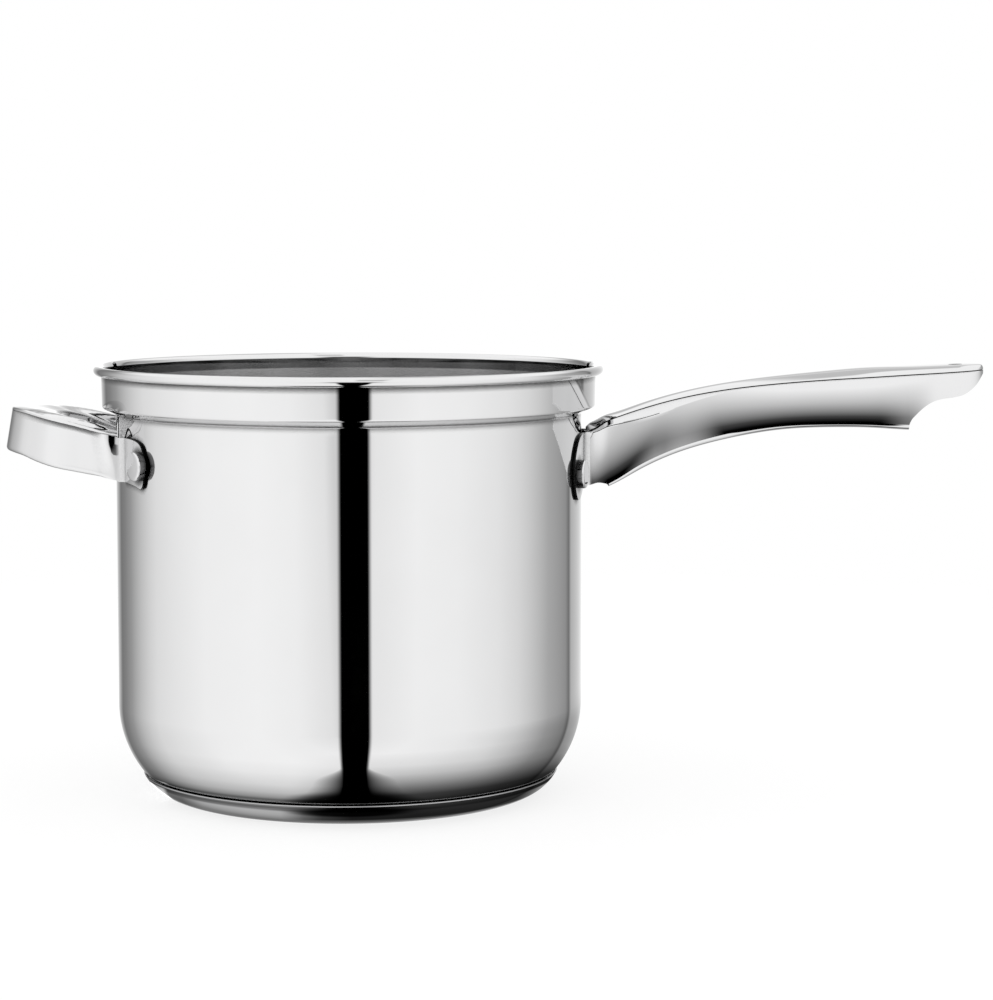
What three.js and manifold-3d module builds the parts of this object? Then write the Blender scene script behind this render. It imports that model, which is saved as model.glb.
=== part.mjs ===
// Pasta pot: a tall drawn steel pot with a stepped collar and a rolled rim, a capped heat spreading
// base, a long handle and a short helper handle. Both handles are pressed from sheet and riveted on.
// Millimetres, +Z up. The origin is the middle of the underside, and +X runs along the long handle.
import * as THREE from 'three';
import { mergeVertices } from 'three/addons/utils/BufferGeometryUtils.js';
import Module from 'manifold-3d';

const wasm = await Module();
wasm.setup();

// Fits
const seatGap = 0.3; // left between two pieces that rest on each other
const overrun = 4; // how far a cutter runs past what it cuts

// Pot body
const bodyRadius = 100;
const bodyWall = 0.9;
const bodyCornerRadius = 45.5; // of the long curve from the wall down to the cap
const bodyCornerTurn = 38; // degrees that the long curve turns through
const bodyHeelRadius = 16; // of the tighter curve that the cap hides
const collarHeight = 20.45; // from its foot on the wall to the top of the rim
const collarStepRise = 2.7;
const collarStepWidth = 5.8;
const collarFlare = 0.3;
const rimHeight = 185.45;
const curlRadius = 2.05;
const curlEndAngle = -112;
const notchWidth = 5;
const notchAzimuths = [8.3, 166.3];

// Base
const capWall = 0.8;
const capReach = 11.85; // of its lip, past the middle of the curve that it hides
const capSideWidth = 16.6; // from the flat underside to the lip
const coreThickness = 4.6;
const coreOverhang = 1; // past the flat underside of the cap
const coreEdge = 1;

// Rivets
const shankRadius = 2.5;
const outerHeadRadius = 6.1;
const outerHeadHeight = 2.4;
const outerHeadBevel = 0.7;
const innerHeadRadius = 5.6;
const innerHeadHeight = 1.6;

// Handle sheet
const handleWall = 1.2;
const stripWall = 1;

// Long handle
const longReach = 175.2; // from the pot's wall to the tip
const longRootDrop = 9; // from the collar's foot down to the seam where it meets the pot
const longClimb = 26.3; // of the seam, from the root to the tip
const longDepth = 28;
const longHalfWidth = 12.3;
const longCrown = 2.3;
const longArchWidth = 11.6;
const longArchDepth = 21.1; // from that seam down to the top of the arch
const longArchDrop = 1.8; // from the top of the arch to its ends
const longEarHeight = 27.6;
const longEarDrop = 27.2; // from that seam down to the ear's lower end
const longEarAzimuth = 22;
const longRivetAzimuth = 16;
const longRivetDrop = 16.1;
const stripTongueLength = 17;
const hangHoleRadius = 2;
const hangHoleFromTip = 12.3;

// Helper handle
const helperReach = 47.2; // of its lower edge, from the pot's wall
const helperLean = 3; // how much further out the lower edge is than the upper one
const helperRootDrop = 7.4; // from the collar's foot down to the seam where it meets the pot
const helperClimb = 8.8;
const helperDepth = 18.3;
const helperHalfWidth = 38;
const helperGripWidth = 19;
const helperArmWidth = 9.6;
const helperCrown = 2.4;
const helperLip = 4;
const helperEarHeight = 19.9;
const helperEarDrop = 21;
const helperEarAzimuth = 34.4;
const helperRivetAzimuth = 30.6;
const helperRivetDrop = 11.8;

// The long handle from its root to its tip. along is a share of the reach, climb of the climb, depth
// of the depth, width of the half width and crown of the crown.
const longHandleShares = [
  { along: -0.02, climb: 0, depth: 0.92, width: 0.87, crown: 0.74 },
  { along: 0.03, climb: 0.05, depth: 0.95, width: 0.84, crown: 0.8 },
  { along: 0.055, climb: 0.16, depth: 0.99, width: 0.8, crown: 0.42 },
  { along: 0.08, climb: 0.236, depth: 0.985, width: 0.76, crown: 0.17 },
  { along: 0.14, climb: 0.37, depth: 0.905, width: 0.71, crown: 0.22 },
  { along: 0.215, climb: 0.508, depth: 0.825, width: 0.7, crown: 0.4 },
  { along: 0.35, climb: 0.683, depth: 0.745, width: 0.75, crown: 0.57 },
  { along: 0.49, climb: 0.79, depth: 0.695, width: 0.84, crown: 0.72 },
  { along: 0.62, climb: 0.855, depth: 0.72, width: 0.93, crown: 0.98 },
  { along: 0.72, climb: 0.893, depth: 0.767, width: 0.99, crown: 1.1 },
  { along: 0.8, climb: 0.926, depth: 0.828, width: 1, crown: 1.06 },
  { along: 0.9, climb: 0.96, depth: 0.86, width: 0.94, crown: 0.94 },
  { along: 0.96, climb: 0.982, depth: 0.88, width: 0.8, crown: 0.84 },
  { along: 0.987, climb: 0.995, depth: 0.89, width: 0.57, crown: 0.65 },
  { along: 1, climb: 1, depth: 0.89, width: 0.2, crown: 0.4 },
];

// One side of the channel's section, from the seam down. x is a share of the half width, y of the depth.
const channelSideShares = [
  { x: 1, y: 0 },
  { x: 1.083, y: 0.25 },
  { x: 1.142, y: 0.5 },
  { x: 1.188, y: 0.9 },
  { x: 1.14, y: 0.975 },
  { x: 1, y: 1 },
];

// The hollow under the long handle's tip. along is a share of the reach, drop of the depth.
const scoopShares = [
  { along: 0.801, drop: 0.95 },
  { along: 0.803, drop: 0.83 },
  { along: 0.813, drop: 0.71 },
  { along: 0.842, drop: 0.532 },
  { along: 0.873, drop: 0.439 },
  { along: 0.91, drop: 0.4 },
  { along: 0.94, drop: 0.355 },
  { along: 0.966, drop: 0.262 },
  { along: 0.985, drop: 0.125 },
  { along: 0.993, drop: 0 },
];

// The long handle's ears, from where they leave the channel to their edge. turn is a share of the way
// round the pot, and top and foot are shares of the ear's height.
const longEarShares = [
  { turn: 0, top: 1, foot: 0.22 },
  { turn: 0.2, top: 1, foot: 0.12 },
  { turn: 0.43, top: 0.985, foot: 0.04 },
  { turn: 0.62, top: 0.945, foot: 0 },
  { turn: 0.78, top: 0.85, foot: 0.04 },
  { turn: 0.9, top: 0.73, foot: 0.15 },
  { turn: 0.97, top: 0.62, foot: 0.28 },
  { turn: 1, top: 0.52, foot: 0.42 },
];

// The helper handle from the pot outward. along is a share of the reach, aside of the half width,
// climb of the climb, depth of the depth and crown of the crown.
const helperShares = [
  { along: -0.11, aside: 1, climb: -0.09, depth: 1, crown: 1 },
  { along: 0.09, aside: 0.966, climb: 0.11, depth: 1, crown: 1 },
  { along: 0.3, aside: 0.934, climb: 0.4, depth: 1.04, crown: 0.8 },
  { along: 0.53, aside: 0.868, climb: 0.66, depth: 1.06, crown: 0.5 },
  { along: 0.64, aside: 0.761, climb: 0.76, depth: 1.05, crown: 0.32 },
  { along: 0.745, aside: 0.621, climb: 0.86, depth: 1.01, crown: 0.18 },
  { along: 0.83, aside: 0.492, climb: 0.94, depth: 0.97, crown: 0.08 },
  { along: 0.912, aside: 0.334, climb: 0.98, depth: 0.95, crown: 0.03 },
  { along: 0.967, aside: 0.19, climb: 0.995, depth: 0.94, crown: 0 },
  { along: 1, aside: 0, climb: 1, depth: 0.94, crown: 0 },
];

// The helper handle's ears, as above
const helperEarShares = [
  { turn: 0, top: 1, foot: 0.05 },
  { turn: 0.42, top: 0.985, foot: 0.035 },
  { turn: 0.7, top: 0.945, foot: 0.015 },
  { turn: 0.86, top: 0.875, foot: 0 },
  { turn: 0.94, top: 0.77, foot: 0.07 },
  { turn: 0.985, top: 0.65, foot: 0.2 },
  { turn: 1, top: 0.52, foot: 0.32 },
];

// How finely the round forms are divided
const roundSteps = 64;
const cornerSteps = 5;
const curlSteps = 8;
const rivetSteps = 16;
const longSteps = 32;
const bowSteps = 36;
const crownSteps = 4;
const earSteps = 10;

const radians = THREE.MathUtils.degToRad;
const degrees = THREE.MathUtils.radToDeg;

// What follows from the sizes above
const floorHeight = capWall + seatGap + coreThickness + seatGap;
const cornerMiddleRadius = bodyRadius - bodyCornerRadius;
const cornerTurn = radians(bodyCornerTurn);
const heelMiddleRadius = cornerMiddleRadius + (bodyCornerRadius - bodyHeelRadius) * Math.cos(cornerTurn);
const heelMiddleHeight = floorHeight + bodyHeelRadius;
const cornerMiddleHeight = heelMiddleHeight + (bodyCornerRadius - bodyHeelRadius) * Math.sin(cornerTurn);
const capRadius = heelMiddleRadius + capReach;
const capFlatRadius = capRadius - capSideWidth;
const coreRadius = capFlatRadius + coreOverhang;
const collarFootHeight = rimHeight - collarHeight;
const collarRadius = bodyRadius + collarStepWidth;
const collarTopRadius = collarRadius + collarFlare;
const curlHeight = rimHeight - curlRadius;
const curlMiddleRadius = collarTopRadius - bodyWall + curlRadius;
const earInnerRadius = bodyRadius + seatGap;
const earOuterRadius = earInnerRadius + handleWall;
const longRootHeight = collarFootHeight - longRootDrop;
const longArchHeight = longRootHeight - longArchDepth;
const helperRootHeight = collarFootHeight - helperRootDrop;

const point2 = (x, y) => new THREE.Vector2(x, y);
const point3 = (x, y, z) => new THREE.Vector3(x, y, z);

// Solids

function toSolid(geometry) {
  const bare = geometry.clone();
  bare.deleteAttribute('normal');
  bare.deleteAttribute('uv');
  const merged = mergeVertices(bare);
  const positions = merged.attributes.position;
  const corner = (i) => new THREE.Vector3().fromBufferAttribute(positions, i);
  const triangles = [];
  let volume = 0;
  for (let i = 0; i < merged.index.count; i += 3) {
    const [a, b, c] = [0, 1, 2].map((k) => merged.index.getX(i + k));
    if (a === b || b === c || c === a) continue;
    triangles.push([a, b, c]);
    volume += corner(a).dot(corner(b).cross(corner(c)));
  }
  if (volume < 0) triangles.forEach((triangle) => triangle.reverse());
  return new wasm.Manifold(new wasm.Mesh({
    numProp: 3,
    vertProperties: new Float32Array(positions.array),
    triVerts: new Uint32Array(triangles.flat()),
  }));
}

function toGeometry(solid) {
  const mesh = solid.getMesh();
  const geometry = new THREE.BufferGeometry();
  geometry.setAttribute('position', new THREE.BufferAttribute(mesh.vertProperties, mesh.numProp));
  geometry.setIndex(new THREE.BufferAttribute(mesh.triVerts, 1));
  geometry.computeVertexNormals();
  return geometry;
}

function turned(profile, steps = roundSteps) {
  return toSolid(new THREE.LatheGeometry(profile, steps).rotateX(Math.PI / 2));
}

// A path moved sideways, to the left of its direction, with its corners kept sharp
function offsetPath(path, distance) {
  const last = path.length - 1;
  const heading = (from, to) => path[to].clone().sub(path[from]).normalize();
  return path.map((point, i) => {
    const arriving = heading(Math.max(i - 1, 0), Math.max(i, 1));
    const leaving = heading(Math.min(i, last - 1), Math.min(i + 1, last));
    const middle = arriving.clone().add(leaving).normalize();
    const stretch = distance / middle.dot(arriving);
    return point2(point.x - middle.y * stretch, point.y + middle.x * stretch);
  });
}

function arcPath(middleX, middleY, radius, fromAngle, toAngle, steps) {
  return Array.from({ length: steps + 1 }, (_, i) => {
    const angle = radians(THREE.MathUtils.lerp(fromAngle, toAngle, i / steps));
    return point2(middleX + radius * Math.cos(angle), middleY + radius * Math.sin(angle));
  });
}

// A bent sheet. Each station holds its outer and its inner edge points, as many of each.
function bentSheet(stations) {
  const rings = stations.map(({ outer, inner }) => [...outer, ...inner.toReversed()]);
  const size = rings[0].length;
  const indices = [];
  const quad = (a, b, c, d) => indices.push(a, b, c, a, c, d);
  for (let start = 0; start < (rings.length - 1) * size; start += size) {
    for (let i = 0; i < size; i++) {
      const next = (i + 1) % size;
      quad(start + i, start + next, start + size + next, start + size + i);
    }
  }
  const last = (rings.length - 1) * size;
  for (let i = 0; i < size / 2 - 1; i++) {
    const far = size - 1 - i;
    quad(i, far, far - 1, i + 1);
    quad(last + i, last + i + 1, last + far - 1, last + far);
  }
  const positions = rings.flat().flatMap((point) => point.toArray());
  const geometry = new THREE.BufferGeometry();
  geometry.setAttribute('position', new THREE.Float32BufferAttribute(positions, 3));
  geometry.setIndex(indices);
  return toSolid(geometry);
}

// A smooth line through one column of a table of shares
function shareLine(rows, key) {
  const spline = new THREE.SplineCurve(rows.map((row) => point2(row.along, row[key])));
  return (share) => spline.getPoint(share);
}

// The value of one column where another column has a given share
function shareAt(rows, key, by, share) {
  const after = rows.findIndex((row) => row[by] >= share);
  if (after < 0) return rows.at(-1)[key];
  if (after === 0) return rows[0][key];
  const [low, high] = [rows[after - 1], rows[after]];
  return THREE.MathUtils.mapLinear(share, low[by], high[by], low[key], high[key]);
}

// A block whose side view is the outline, in X and Z, and which is as wide as asked
function sideBlock(outline, width) {
  const options = { depth: width, bevelEnabled: false };
  const geometry = new THREE.ExtrudeGeometry(new THREE.Shape(outline), options);
  geometry.rotateX(Math.PI / 2);
  geometry.translate(0, width / 2, 0);
  return toSolid(geometry);
}

function potSpace() {
  const height = rimHeight + 2 * overrun;
  const geometry = new THREE.CylinderGeometry(earInnerRadius, earInnerRadius, height, roundSteps * 2);
  return toSolid(geometry.rotateX(Math.PI / 2).translate(0, 0, rimHeight / 2));
}

// Rivets

// Two rivets for each handle, the front one on the -Y side
function rivetPlaces() {
  const pair = (handle, height, frontAzimuth, backAzimuth) => [
    { name: `${handle}_rivet_front`, azimuth: frontAzimuth, height },
    { name: `${handle}_rivet_back`, azimuth: backAzimuth, height },
  ];
  return [
    ...pair('long_handle', longRootHeight - longRivetDrop, -longRivetAzimuth, longRivetAzimuth),
    ...pair(
      'helper_handle',
      helperRootHeight - helperRivetDrop,
      180 + helperRivetAzimuth,
      180 - helperRivetAzimuth,
    ),
  ];
}

function rivetHoles() {
  const radius = shankRadius + seatGap;
  const length = 2 * (earOuterRadius - bodyRadius + bodyWall + overrun);
  const holes = rivetPlaces().map(({ azimuth, height }) => {
    const hole = new THREE.CylinderGeometry(radius, radius, length, rivetSteps);
    hole.rotateZ(Math.PI / 2).translate(bodyRadius, 0, 0);
    return toSolid(hole.rotateZ(radians(azimuth)).translate(0, 0, height));
  });
  return holes.reduce((all, hole) => all.add(hole));
}

// Turned about its own axis, which is the pot's radius: y is the distance from the pot's axis
function rivet() {
  const innerWall = bodyRadius - bodyWall;
  const innerSeat = Math.sqrt(innerWall ** 2 - innerHeadRadius ** 2) - seatGap;
  const outerSeat = earOuterRadius + seatGap;
  const innerDome = arcPath(0, innerSeat, 1, -90, 0, crownSteps).map(
    (point) => point2(point.x * innerHeadRadius, innerSeat + (point.y - innerSeat) * innerHeadHeight),
  );
  const profile = [
    ...innerDome,
    point2(shankRadius, innerSeat),
    point2(shankRadius, outerSeat),
    point2(outerHeadRadius, outerSeat),
    point2(outerHeadRadius, outerSeat + outerHeadHeight - outerHeadBevel),
    point2(outerHeadRadius - outerHeadBevel, outerSeat + outerHeadHeight),
    point2(0, outerSeat + outerHeadHeight),
  ];
  const geometry = new THREE.LatheGeometry(profile, rivetSteps).rotateZ(-Math.PI / 2);
  return toGeometry(toSolid(geometry));
}

// Pot body and base

function potBody() {
  const turn = bodyCornerTurn;
  const outside = [
    point2(0, floorHeight),
    ...arcPath(heelMiddleRadius, heelMiddleHeight, bodyHeelRadius, -90, -turn, cornerSteps).slice(0, -1),
    ...arcPath(cornerMiddleRadius, cornerMiddleHeight, bodyCornerRadius, -turn, 0, cornerSteps),
    point2(bodyRadius, collarFootHeight),
    point2(collarRadius, collarFootHeight + collarStepRise),
    ...arcPath(curlMiddleRadius, curlHeight, curlRadius - bodyWall, 180, curlEndAngle, curlSteps),
  ];
  const inside = offsetPath(outside, bodyWall);
  inside[0].x = 0;
  let body = turned([...outside, ...inside.toReversed()]);
  for (const azimuth of notchAzimuths) {
    const reach = 2 * curlRadius + overrun;
    const notch = new THREE.BoxGeometry(reach, notchWidth, 2 * curlRadius + overrun);
    notch.translate(collarTopRadius + reach / 2, 0, curlHeight + overrun / 2 - seatGap);
    body = body.subtract(toSolid(notch.rotateZ(radians(azimuth))));
  }
  return toGeometry(body.subtract(rivetHoles()));
}

// How high the heel of the drawn body lies at a distance from the axis
function bodyUnderside(radius) {
  const across = Math.max(radius - heelMiddleRadius, 0);
  return heelMiddleHeight - Math.sqrt(bodyHeelRadius ** 2 - across ** 2);
}

function baseCore() {
  const bottom = capWall + seatGap;
  return toGeometry(turned([
    point2(0, bottom),
    point2(coreRadius - coreEdge, bottom),
    point2(coreRadius, bottom + coreEdge),
    point2(coreRadius, bottom + coreThickness - coreEdge),
    point2(coreRadius - coreEdge, bottom + coreThickness),
    point2(0, bottom + coreThickness),
  ]));
}

function baseCap() {
  const lipHeight = bodyUnderside(capRadius - capWall) - seatGap - capWall / 2;
  const sideWidth = capRadius - capFlatRadius;
  const sideRadius = (sideWidth ** 2 + lipHeight ** 2) / (2 * lipHeight);
  const lipAngle = degrees(Math.asin(sideWidth / sideRadius)) - 90;
  const side = arcPath(capFlatRadius, sideRadius, sideRadius, -90, lipAngle, cornerSteps);
  const outside = [point2(0, 0), ...side];
  const inside = offsetPath(outside, capWall);
  inside[0].x = 0;
  return toGeometry(turned([...outside, ...inside.toReversed()]));
}

// An ear: a handle's end, bent to lie against the pot's wall. sign is its side, 1 or -1, start and end
// are its bounds round the pot from the handle's middle, in degrees, and shares is its outline.
function ear(sign, start, end, foot, height, shares) {
  const stations = Array.from({ length: earSteps + 1 }, (_, i) => {
    const turn = Math.sin((i / earSteps) * Math.PI / 2);
    const azimuth = radians(sign * THREE.MathUtils.lerp(start, end, turn));
    const edge = (key, radius) => {
      const z = foot + height * shareAt(shares, key, 'turn', turn);
      return point3(radius * Math.cos(azimuth), radius * Math.sin(azimuth), z);
    };
    const column = (radius) => [edge('foot', radius), edge('top', radius)];
    return { outer: column(earOuterRadius), inner: column(earInnerRadius) };
  });
  return bentSheet(stations);
}

// Long handle

const longX = (along) => bodyRadius + longReach * along;
const longSeam = (climb) => longRootHeight + longClimb * climb;
const longLine = Object.fromEntries(
  ['climb', 'depth', 'width', 'crown'].map((key) => [key, shareLine(longHandleShares, key)]),
);

function channelSection(width, depth) {
  const side = channelSideShares.map(
    ({ x, y }) => point2(-x * width * longHalfWidth, -y * depth * longDepth),
  );
  const across = side.toReversed().map((point) => point2(-point.x, point.y));
  const outer = [...side, ...across];
  return { outer, inner: offsetPath(outer, handleWall) };
}

function channelBlank() {
  const stations = Array.from({ length: longSteps + 1 }, (_, i) => {
    const climb = longLine.climb(i / longSteps);
    const section = channelSection(longLine.width(i / longSteps).y, longLine.depth(i / longSteps).y);
    const place = (point) => point3(longX(climb.x), point.x, longSeam(climb.y) + point.y);
    return { outer: section.outer.map(place), inner: section.inner.map(place) };
  });
  return bentSheet(stations);
}

function scoopBlock() {
  const seam = longSeam(1);
  const place = ({ along, drop }) => point2(longX(along), seam - drop * longDepth);
  const edge = new THREE.SplineCurve(scoopShares.map(place)).getPoints(scoopShares.length * 2);
  const beyond = longX(1) + overrun;
  const below = seam - longDepth - overrun;
  const outline = [...edge, point2(beyond, edge.at(-1).y), point2(beyond, below), point2(edge[0].x, below)];
  return sideBlock(outline, 2 * longHalfWidth + overrun);
}

// The arch between the pot's wall and the point where the channel's floor begins
function archBlock() {
  const floor = longArchHeight - longDepth;
  const middle = bodyRadius + longArchWidth / 2;
  const arch = arcPath(0, 0, 1, 180, 0, cornerSteps).map(
    ({ x, y }) => point2(middle + x * longArchWidth / 2, longArchHeight + (y - 1) * longArchDrop),
  );
  const outline = [point2(bodyRadius - overrun, floor), point2(bodyRadius - overrun, arch[0].y), ...arch];
  outline.push(point2(bodyRadius + longArchWidth, floor));
  return sideBlock(outline, 2 * longHalfWidth + overrun);
}

function longHandleChannel() {
  let channel = channelBlank().subtract(scoopBlock()).subtract(archBlock()).subtract(potSpace());
  const rootWidth = longHalfWidth * longHandleShares[0].width - handleWall;
  const start = degrees(Math.asin(rootWidth / earInnerRadius));
  const foot = longRootHeight - longEarDrop;
  for (const sign of [1, -1]) {
    const side = ear(sign, start, longEarAzimuth, foot, longEarHeight, longEarShares);
    channel = channel.add(side);
  }
  return toGeometry(channel.subtract(rivetHoles()));
}

function longHandleTopStrip() {
  const root = earOuterRadius + seatGap;
  const stations = [];
  for (let i = 0; i <= longSteps; i++) {
    if (longX(longLine.climb((i + 1) / longSteps).x) < root) continue;
    const climb = longLine.climb(i / longSteps);
    const x = Math.max(longX(climb.x), root);
    const tongue = Math.sqrt(1 - Math.max(1 - (x - root + seatGap) / stripTongueLength, 0) ** 2);
    const half = longHalfWidth * longLine.width(i / longSteps).y * tongue;
    const crown = longCrown * longLine.crown(i / longSteps).y;
    const edge = (lift) => Array.from({ length: crownSteps * 2 + 1 }, (_, k) => {
      const across = k / crownSteps - 1;
      return point3(x, across * half, longSeam(climb.y) + lift + crown * (1 - across ** 2));
    });
    stations.push({ outer: edge(seatGap + stripWall), inner: edge(seatGap) });
  }
  const height = longCrown + longDepth;
  const hole = new THREE.CylinderGeometry(hangHoleRadius, hangHoleRadius, height, rivetSteps);
  hole.rotateX(Math.PI / 2).translate(longX(1) - hangHoleFromTip, 0, longSeam(1));
  return toGeometry(bentSheet(stations).subtract(toSolid(hole)));
}

// Helper handle, drawn as if it ran along +X and then turned to face away from the long handle

const helperAt = (key, along) => shareAt(helperShares, key, 'along', along);
const helperSeam = (along) => helperRootHeight + helperClimb * helperAt('climb', along);

// Half of the bow is drawn and then mirrored: the places on it, as shares of its reach and half width
function bowShares() {
  const half = helperShares.map(({ along, aside }) => point2(along, -aside));
  const mirrored = half.slice(0, -1).toReversed().map(({ x, y }) => point2(x, -y));
  return new THREE.SplineCurve([...half, ...mirrored]).getPoints(bowSteps);
}

function bowPath(reach, halfWidth, lean) {
  return bowShares().map(({ x, y }) => point2(bodyRadius + x * reach - lean, y * halfWidth));
}

function helperStrap() {
  const shares = bowShares();
  const outside = bowPath(helperReach, helperHalfWidth, 0);
  const inside = offsetPath(outside, handleWall);
  const stations = shares.map(({ x: along }, i) => {
    const seam = helperSeam(along);
    const foot = seam - helperDepth * helperAt('depth', along);
    const column = (at) => [point3(at.x, at.y, foot), point3(at.x - helperLean, at.y, seam)];
    return { outer: column(outside[i]), inner: column(inside[i]) };
  });
  let strap = bentSheet(stations).subtract(potSpace());
  const fold = helperHalfWidth * helperAt('aside', 0) - handleWall;
  const start = degrees(Math.asin(fold / earInnerRadius));
  const foot = helperRootHeight - helperEarDrop;
  for (const sign of [1, -1]) {
    const side = ear(sign, start, helperEarAzimuth, foot, helperEarHeight, helperEarShares);
    strap = strap.add(side);
  }
  return toGeometry(strap.rotate([0, 0, 180]).subtract(rivetHoles()));
}

// The crowned plate on the strap, with its inner edge folded down as a lip
function helperTopPlate() {
  const outside = bowPath(helperReach, helperHalfWidth, helperLean);
  const opening = bowPath(helperReach - helperGripWidth, helperHalfWidth - helperArmWidth, helperLean);
  const heightAt = (x) => helperSeam((x + helperLean - bodyRadius) / helperReach);
  const stations = bowShares().map(({ x: along }, i) => {
    const crown = helperCrown * helperAt('crown', along);
    const surface = (lift) => Array.from({ length: crownSteps + 1 }, (_, k) => {
      const at = outside[i].clone().lerp(opening[i], k / crownSteps);
      const hump = crown * (1 - ((2 * k) / crownSteps - 1) ** 2);
      return point3(at.x, at.y, heightAt(at.x) + hump + lift);
    });
    const outer = surface(seatGap + stripWall);
    const inner = surface(seatGap);
    const inward = outside[i].clone().sub(opening[i]).setLength(stripWall);
    inner.at(-1).add(point3(inward.x, inward.y, 0));
    outer.push(outer.at(-1).clone().setZ(outer.at(-1).z - helperLip));
    inner.push(inner.at(-1).clone().setZ(outer.at(-1).z));
    return { outer, inner };
  });
  return toGeometry(bentSheet(stations).subtract(potSpace()).rotate([0, 0, 180]));
}

// Materials and the whole pot

const metal = (color, roughness) => new THREE.MeshStandardMaterial({ color, roughness, metalness: 1 });
const polishedSteel = () => metal(0xd9dadb, 0.06);
const capSteel = () => metal(0xc9cacc, 0.12);
const rivetSteel = () => metal(0xd2d3d5, 0.1);
const aluminium = () => metal(0xb9babc, 0.45);

function named(name, geometry, material) {
  const mesh = new THREE.Mesh(geometry, material);
  mesh.name = name;
  return mesh;
}

function pastaPot() {
  const pot = new THREE.Group();
  pot.add(
    named('pot_body', potBody(), polishedSteel()),
    named('base_core', baseCore(), aluminium()),
    named('base_cap', baseCap(), capSteel()),
    named('long_handle_channel', longHandleChannel(), polishedSteel()),
    named('long_handle_top_strip', longHandleTopStrip(), polishedSteel()),
    named('helper_handle_strap', helperStrap(), polishedSteel()),
    named('helper_handle_top_plate', helperTopPlate(), polishedSteel()),
  );
  for (const { name, azimuth, height } of rivetPlaces()) {
    const mesh = named(name, rivet(), rivetSteel());
    mesh.rotation.z = radians(azimuth);
    mesh.position.z = height;
    pot.add(mesh);
  }
  return pot;
}

export default pastaPot();
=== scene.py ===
import math

import bmesh
import bpy
import numpy as np
from mathutils import Matrix, Vector


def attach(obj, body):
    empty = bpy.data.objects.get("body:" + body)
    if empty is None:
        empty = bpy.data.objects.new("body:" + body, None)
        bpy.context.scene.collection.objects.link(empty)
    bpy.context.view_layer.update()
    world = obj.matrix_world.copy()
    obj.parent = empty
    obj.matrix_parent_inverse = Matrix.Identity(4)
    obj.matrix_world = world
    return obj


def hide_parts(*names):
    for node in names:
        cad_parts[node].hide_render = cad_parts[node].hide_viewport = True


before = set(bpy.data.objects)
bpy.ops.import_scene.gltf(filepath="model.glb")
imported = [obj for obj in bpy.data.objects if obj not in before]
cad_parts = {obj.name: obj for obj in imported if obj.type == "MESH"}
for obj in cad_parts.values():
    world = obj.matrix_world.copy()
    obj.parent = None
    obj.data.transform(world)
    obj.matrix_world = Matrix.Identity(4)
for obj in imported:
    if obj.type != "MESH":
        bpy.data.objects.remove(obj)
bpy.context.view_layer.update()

# Sizes below are in millimetres, as on a drawing, and MM turns them into the scene's metres.
# +Z is up, the long handle points along +X and the helper handle along -X.
MM = 0.001

# Pot body
BODY_RADIUS = 100
BODY_WALL = 0.9
FLOOR_HEIGHT = 6
CORNER_RADIUS = 45.5
CORNER_TURN = 38  # degrees that the long curve above the cap turns through
HEEL_RADIUS = 16
COLLAR_FOOT = 165
COLLAR_RISE = 2.7
COLLAR_WIDTH = 5.8
COLLAR_FLARE = 0.3
COLLAR_FOOT_ROUND = 1.0
COLLAR_STEP_ROUND = 1.3
FLOOR_ROWS = (0, 25, 50, 68, 74, 76.5)
WALL_ROWS = (0.4, 2, 6, 15, 35, 60, 85, 105, 116, 121)  # above the rounded corner
COLLAR_ROWS = (0.03, 0.15, 0.4, 0.65, 0.85, 0.97)
RIM_HEIGHT = 185.4
CURL_RADIUS = 2.05
CURL_END = -112  # degrees
SATIN_TOP = 178.6  # the inside is satin up to here, and mirror polished above
NOTCH_WIDTH = 5
NOTCH_AZIMUTHS = (8.3, 166.3)

# Base cap
CAP_WALL = 0.8
CAP_RADIUS = 89.6
CAP_FLAT = 73
CAP_ROWS = (0, 20, 40, 55, 66, 71, 72.7)
CAP_LIP = 9.73
CAP_END_ROUND = 0.3
CAP_LIP_BAND = 0.15

# Handle sheet and its seams
SHEET = 1.1
TOP_SHEET = 1.0
TOP_EDGE_ROUND = 0.2
SEAM_GAP = 0.16
EDGE_ROUND = 0.28
EDGE_ANGLE = 50  # degrees from which an edge is broken
EAR_GAP = 0.15
EAR_FACE = BODY_RADIUS + EAR_GAP + SHEET

# Rivets
RIVET_RADIUS = 6.1
RIVET_TOP = 104.25  # from the pot's axis
RIVET_ROUND = 0.75
RIVET_CROWN = ((0, 0.12), (2.2, 0.096), (4.4, 0.02))  # radius, and rise above the top
RIVET_SIDE_ROW = 0.5
INNER_HEAD_RADIUS = 5.6
INNER_HEAD_HEIGHT = 1.9
INNER_HEAD_GAP = 0.2
RIVET_SINK = 0.3  # how far the head reaches into the ear
SHANK_RADIUS = 2.5

# The long handle from the pot to its tip: distance from the pot's axis, half width at the seam, height
# of the seam, depth below the seam and crown above it.
LONG_LINES = (
    (103.4, 10.6, 156.6, 26.2, 2.6),
    (106.5, 10.4, 158.1, 27.0, 2.6),
    (109.6, 10.18, 160.2, 27.6, 2.2),
    (114.0, 9.88, 162.2, 27.5, 1.7),
    (124.5, 9.25, 165.7, 25.4, 1.7),
    (137.7, 8.85, 169.4, 23.1, 2.0),
    (161.3, 9.2, 174.0, 20.9, 2.4),
    (185.9, 10.35, 176.8, 19.5, 2.8),
    (208.6, 11.45, 178.5, 20.2, 3.3),
    (226.1, 12.15, 179.5, 21.5, 3.6),
    (240.2, 12.3, 180.35, 23.2, 3.1),
    (257.7, 11.6, 181.3, 24.1, 2.7),
    (268.2, 9.6, 181.9, 24.6, 2.4),
    (275.2, 7.0, 182.3, 24.9, 2.0),
)
LONG_START = LONG_LINES[0][0]
LONG_TIP = LONG_LINES[-1][0]
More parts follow.
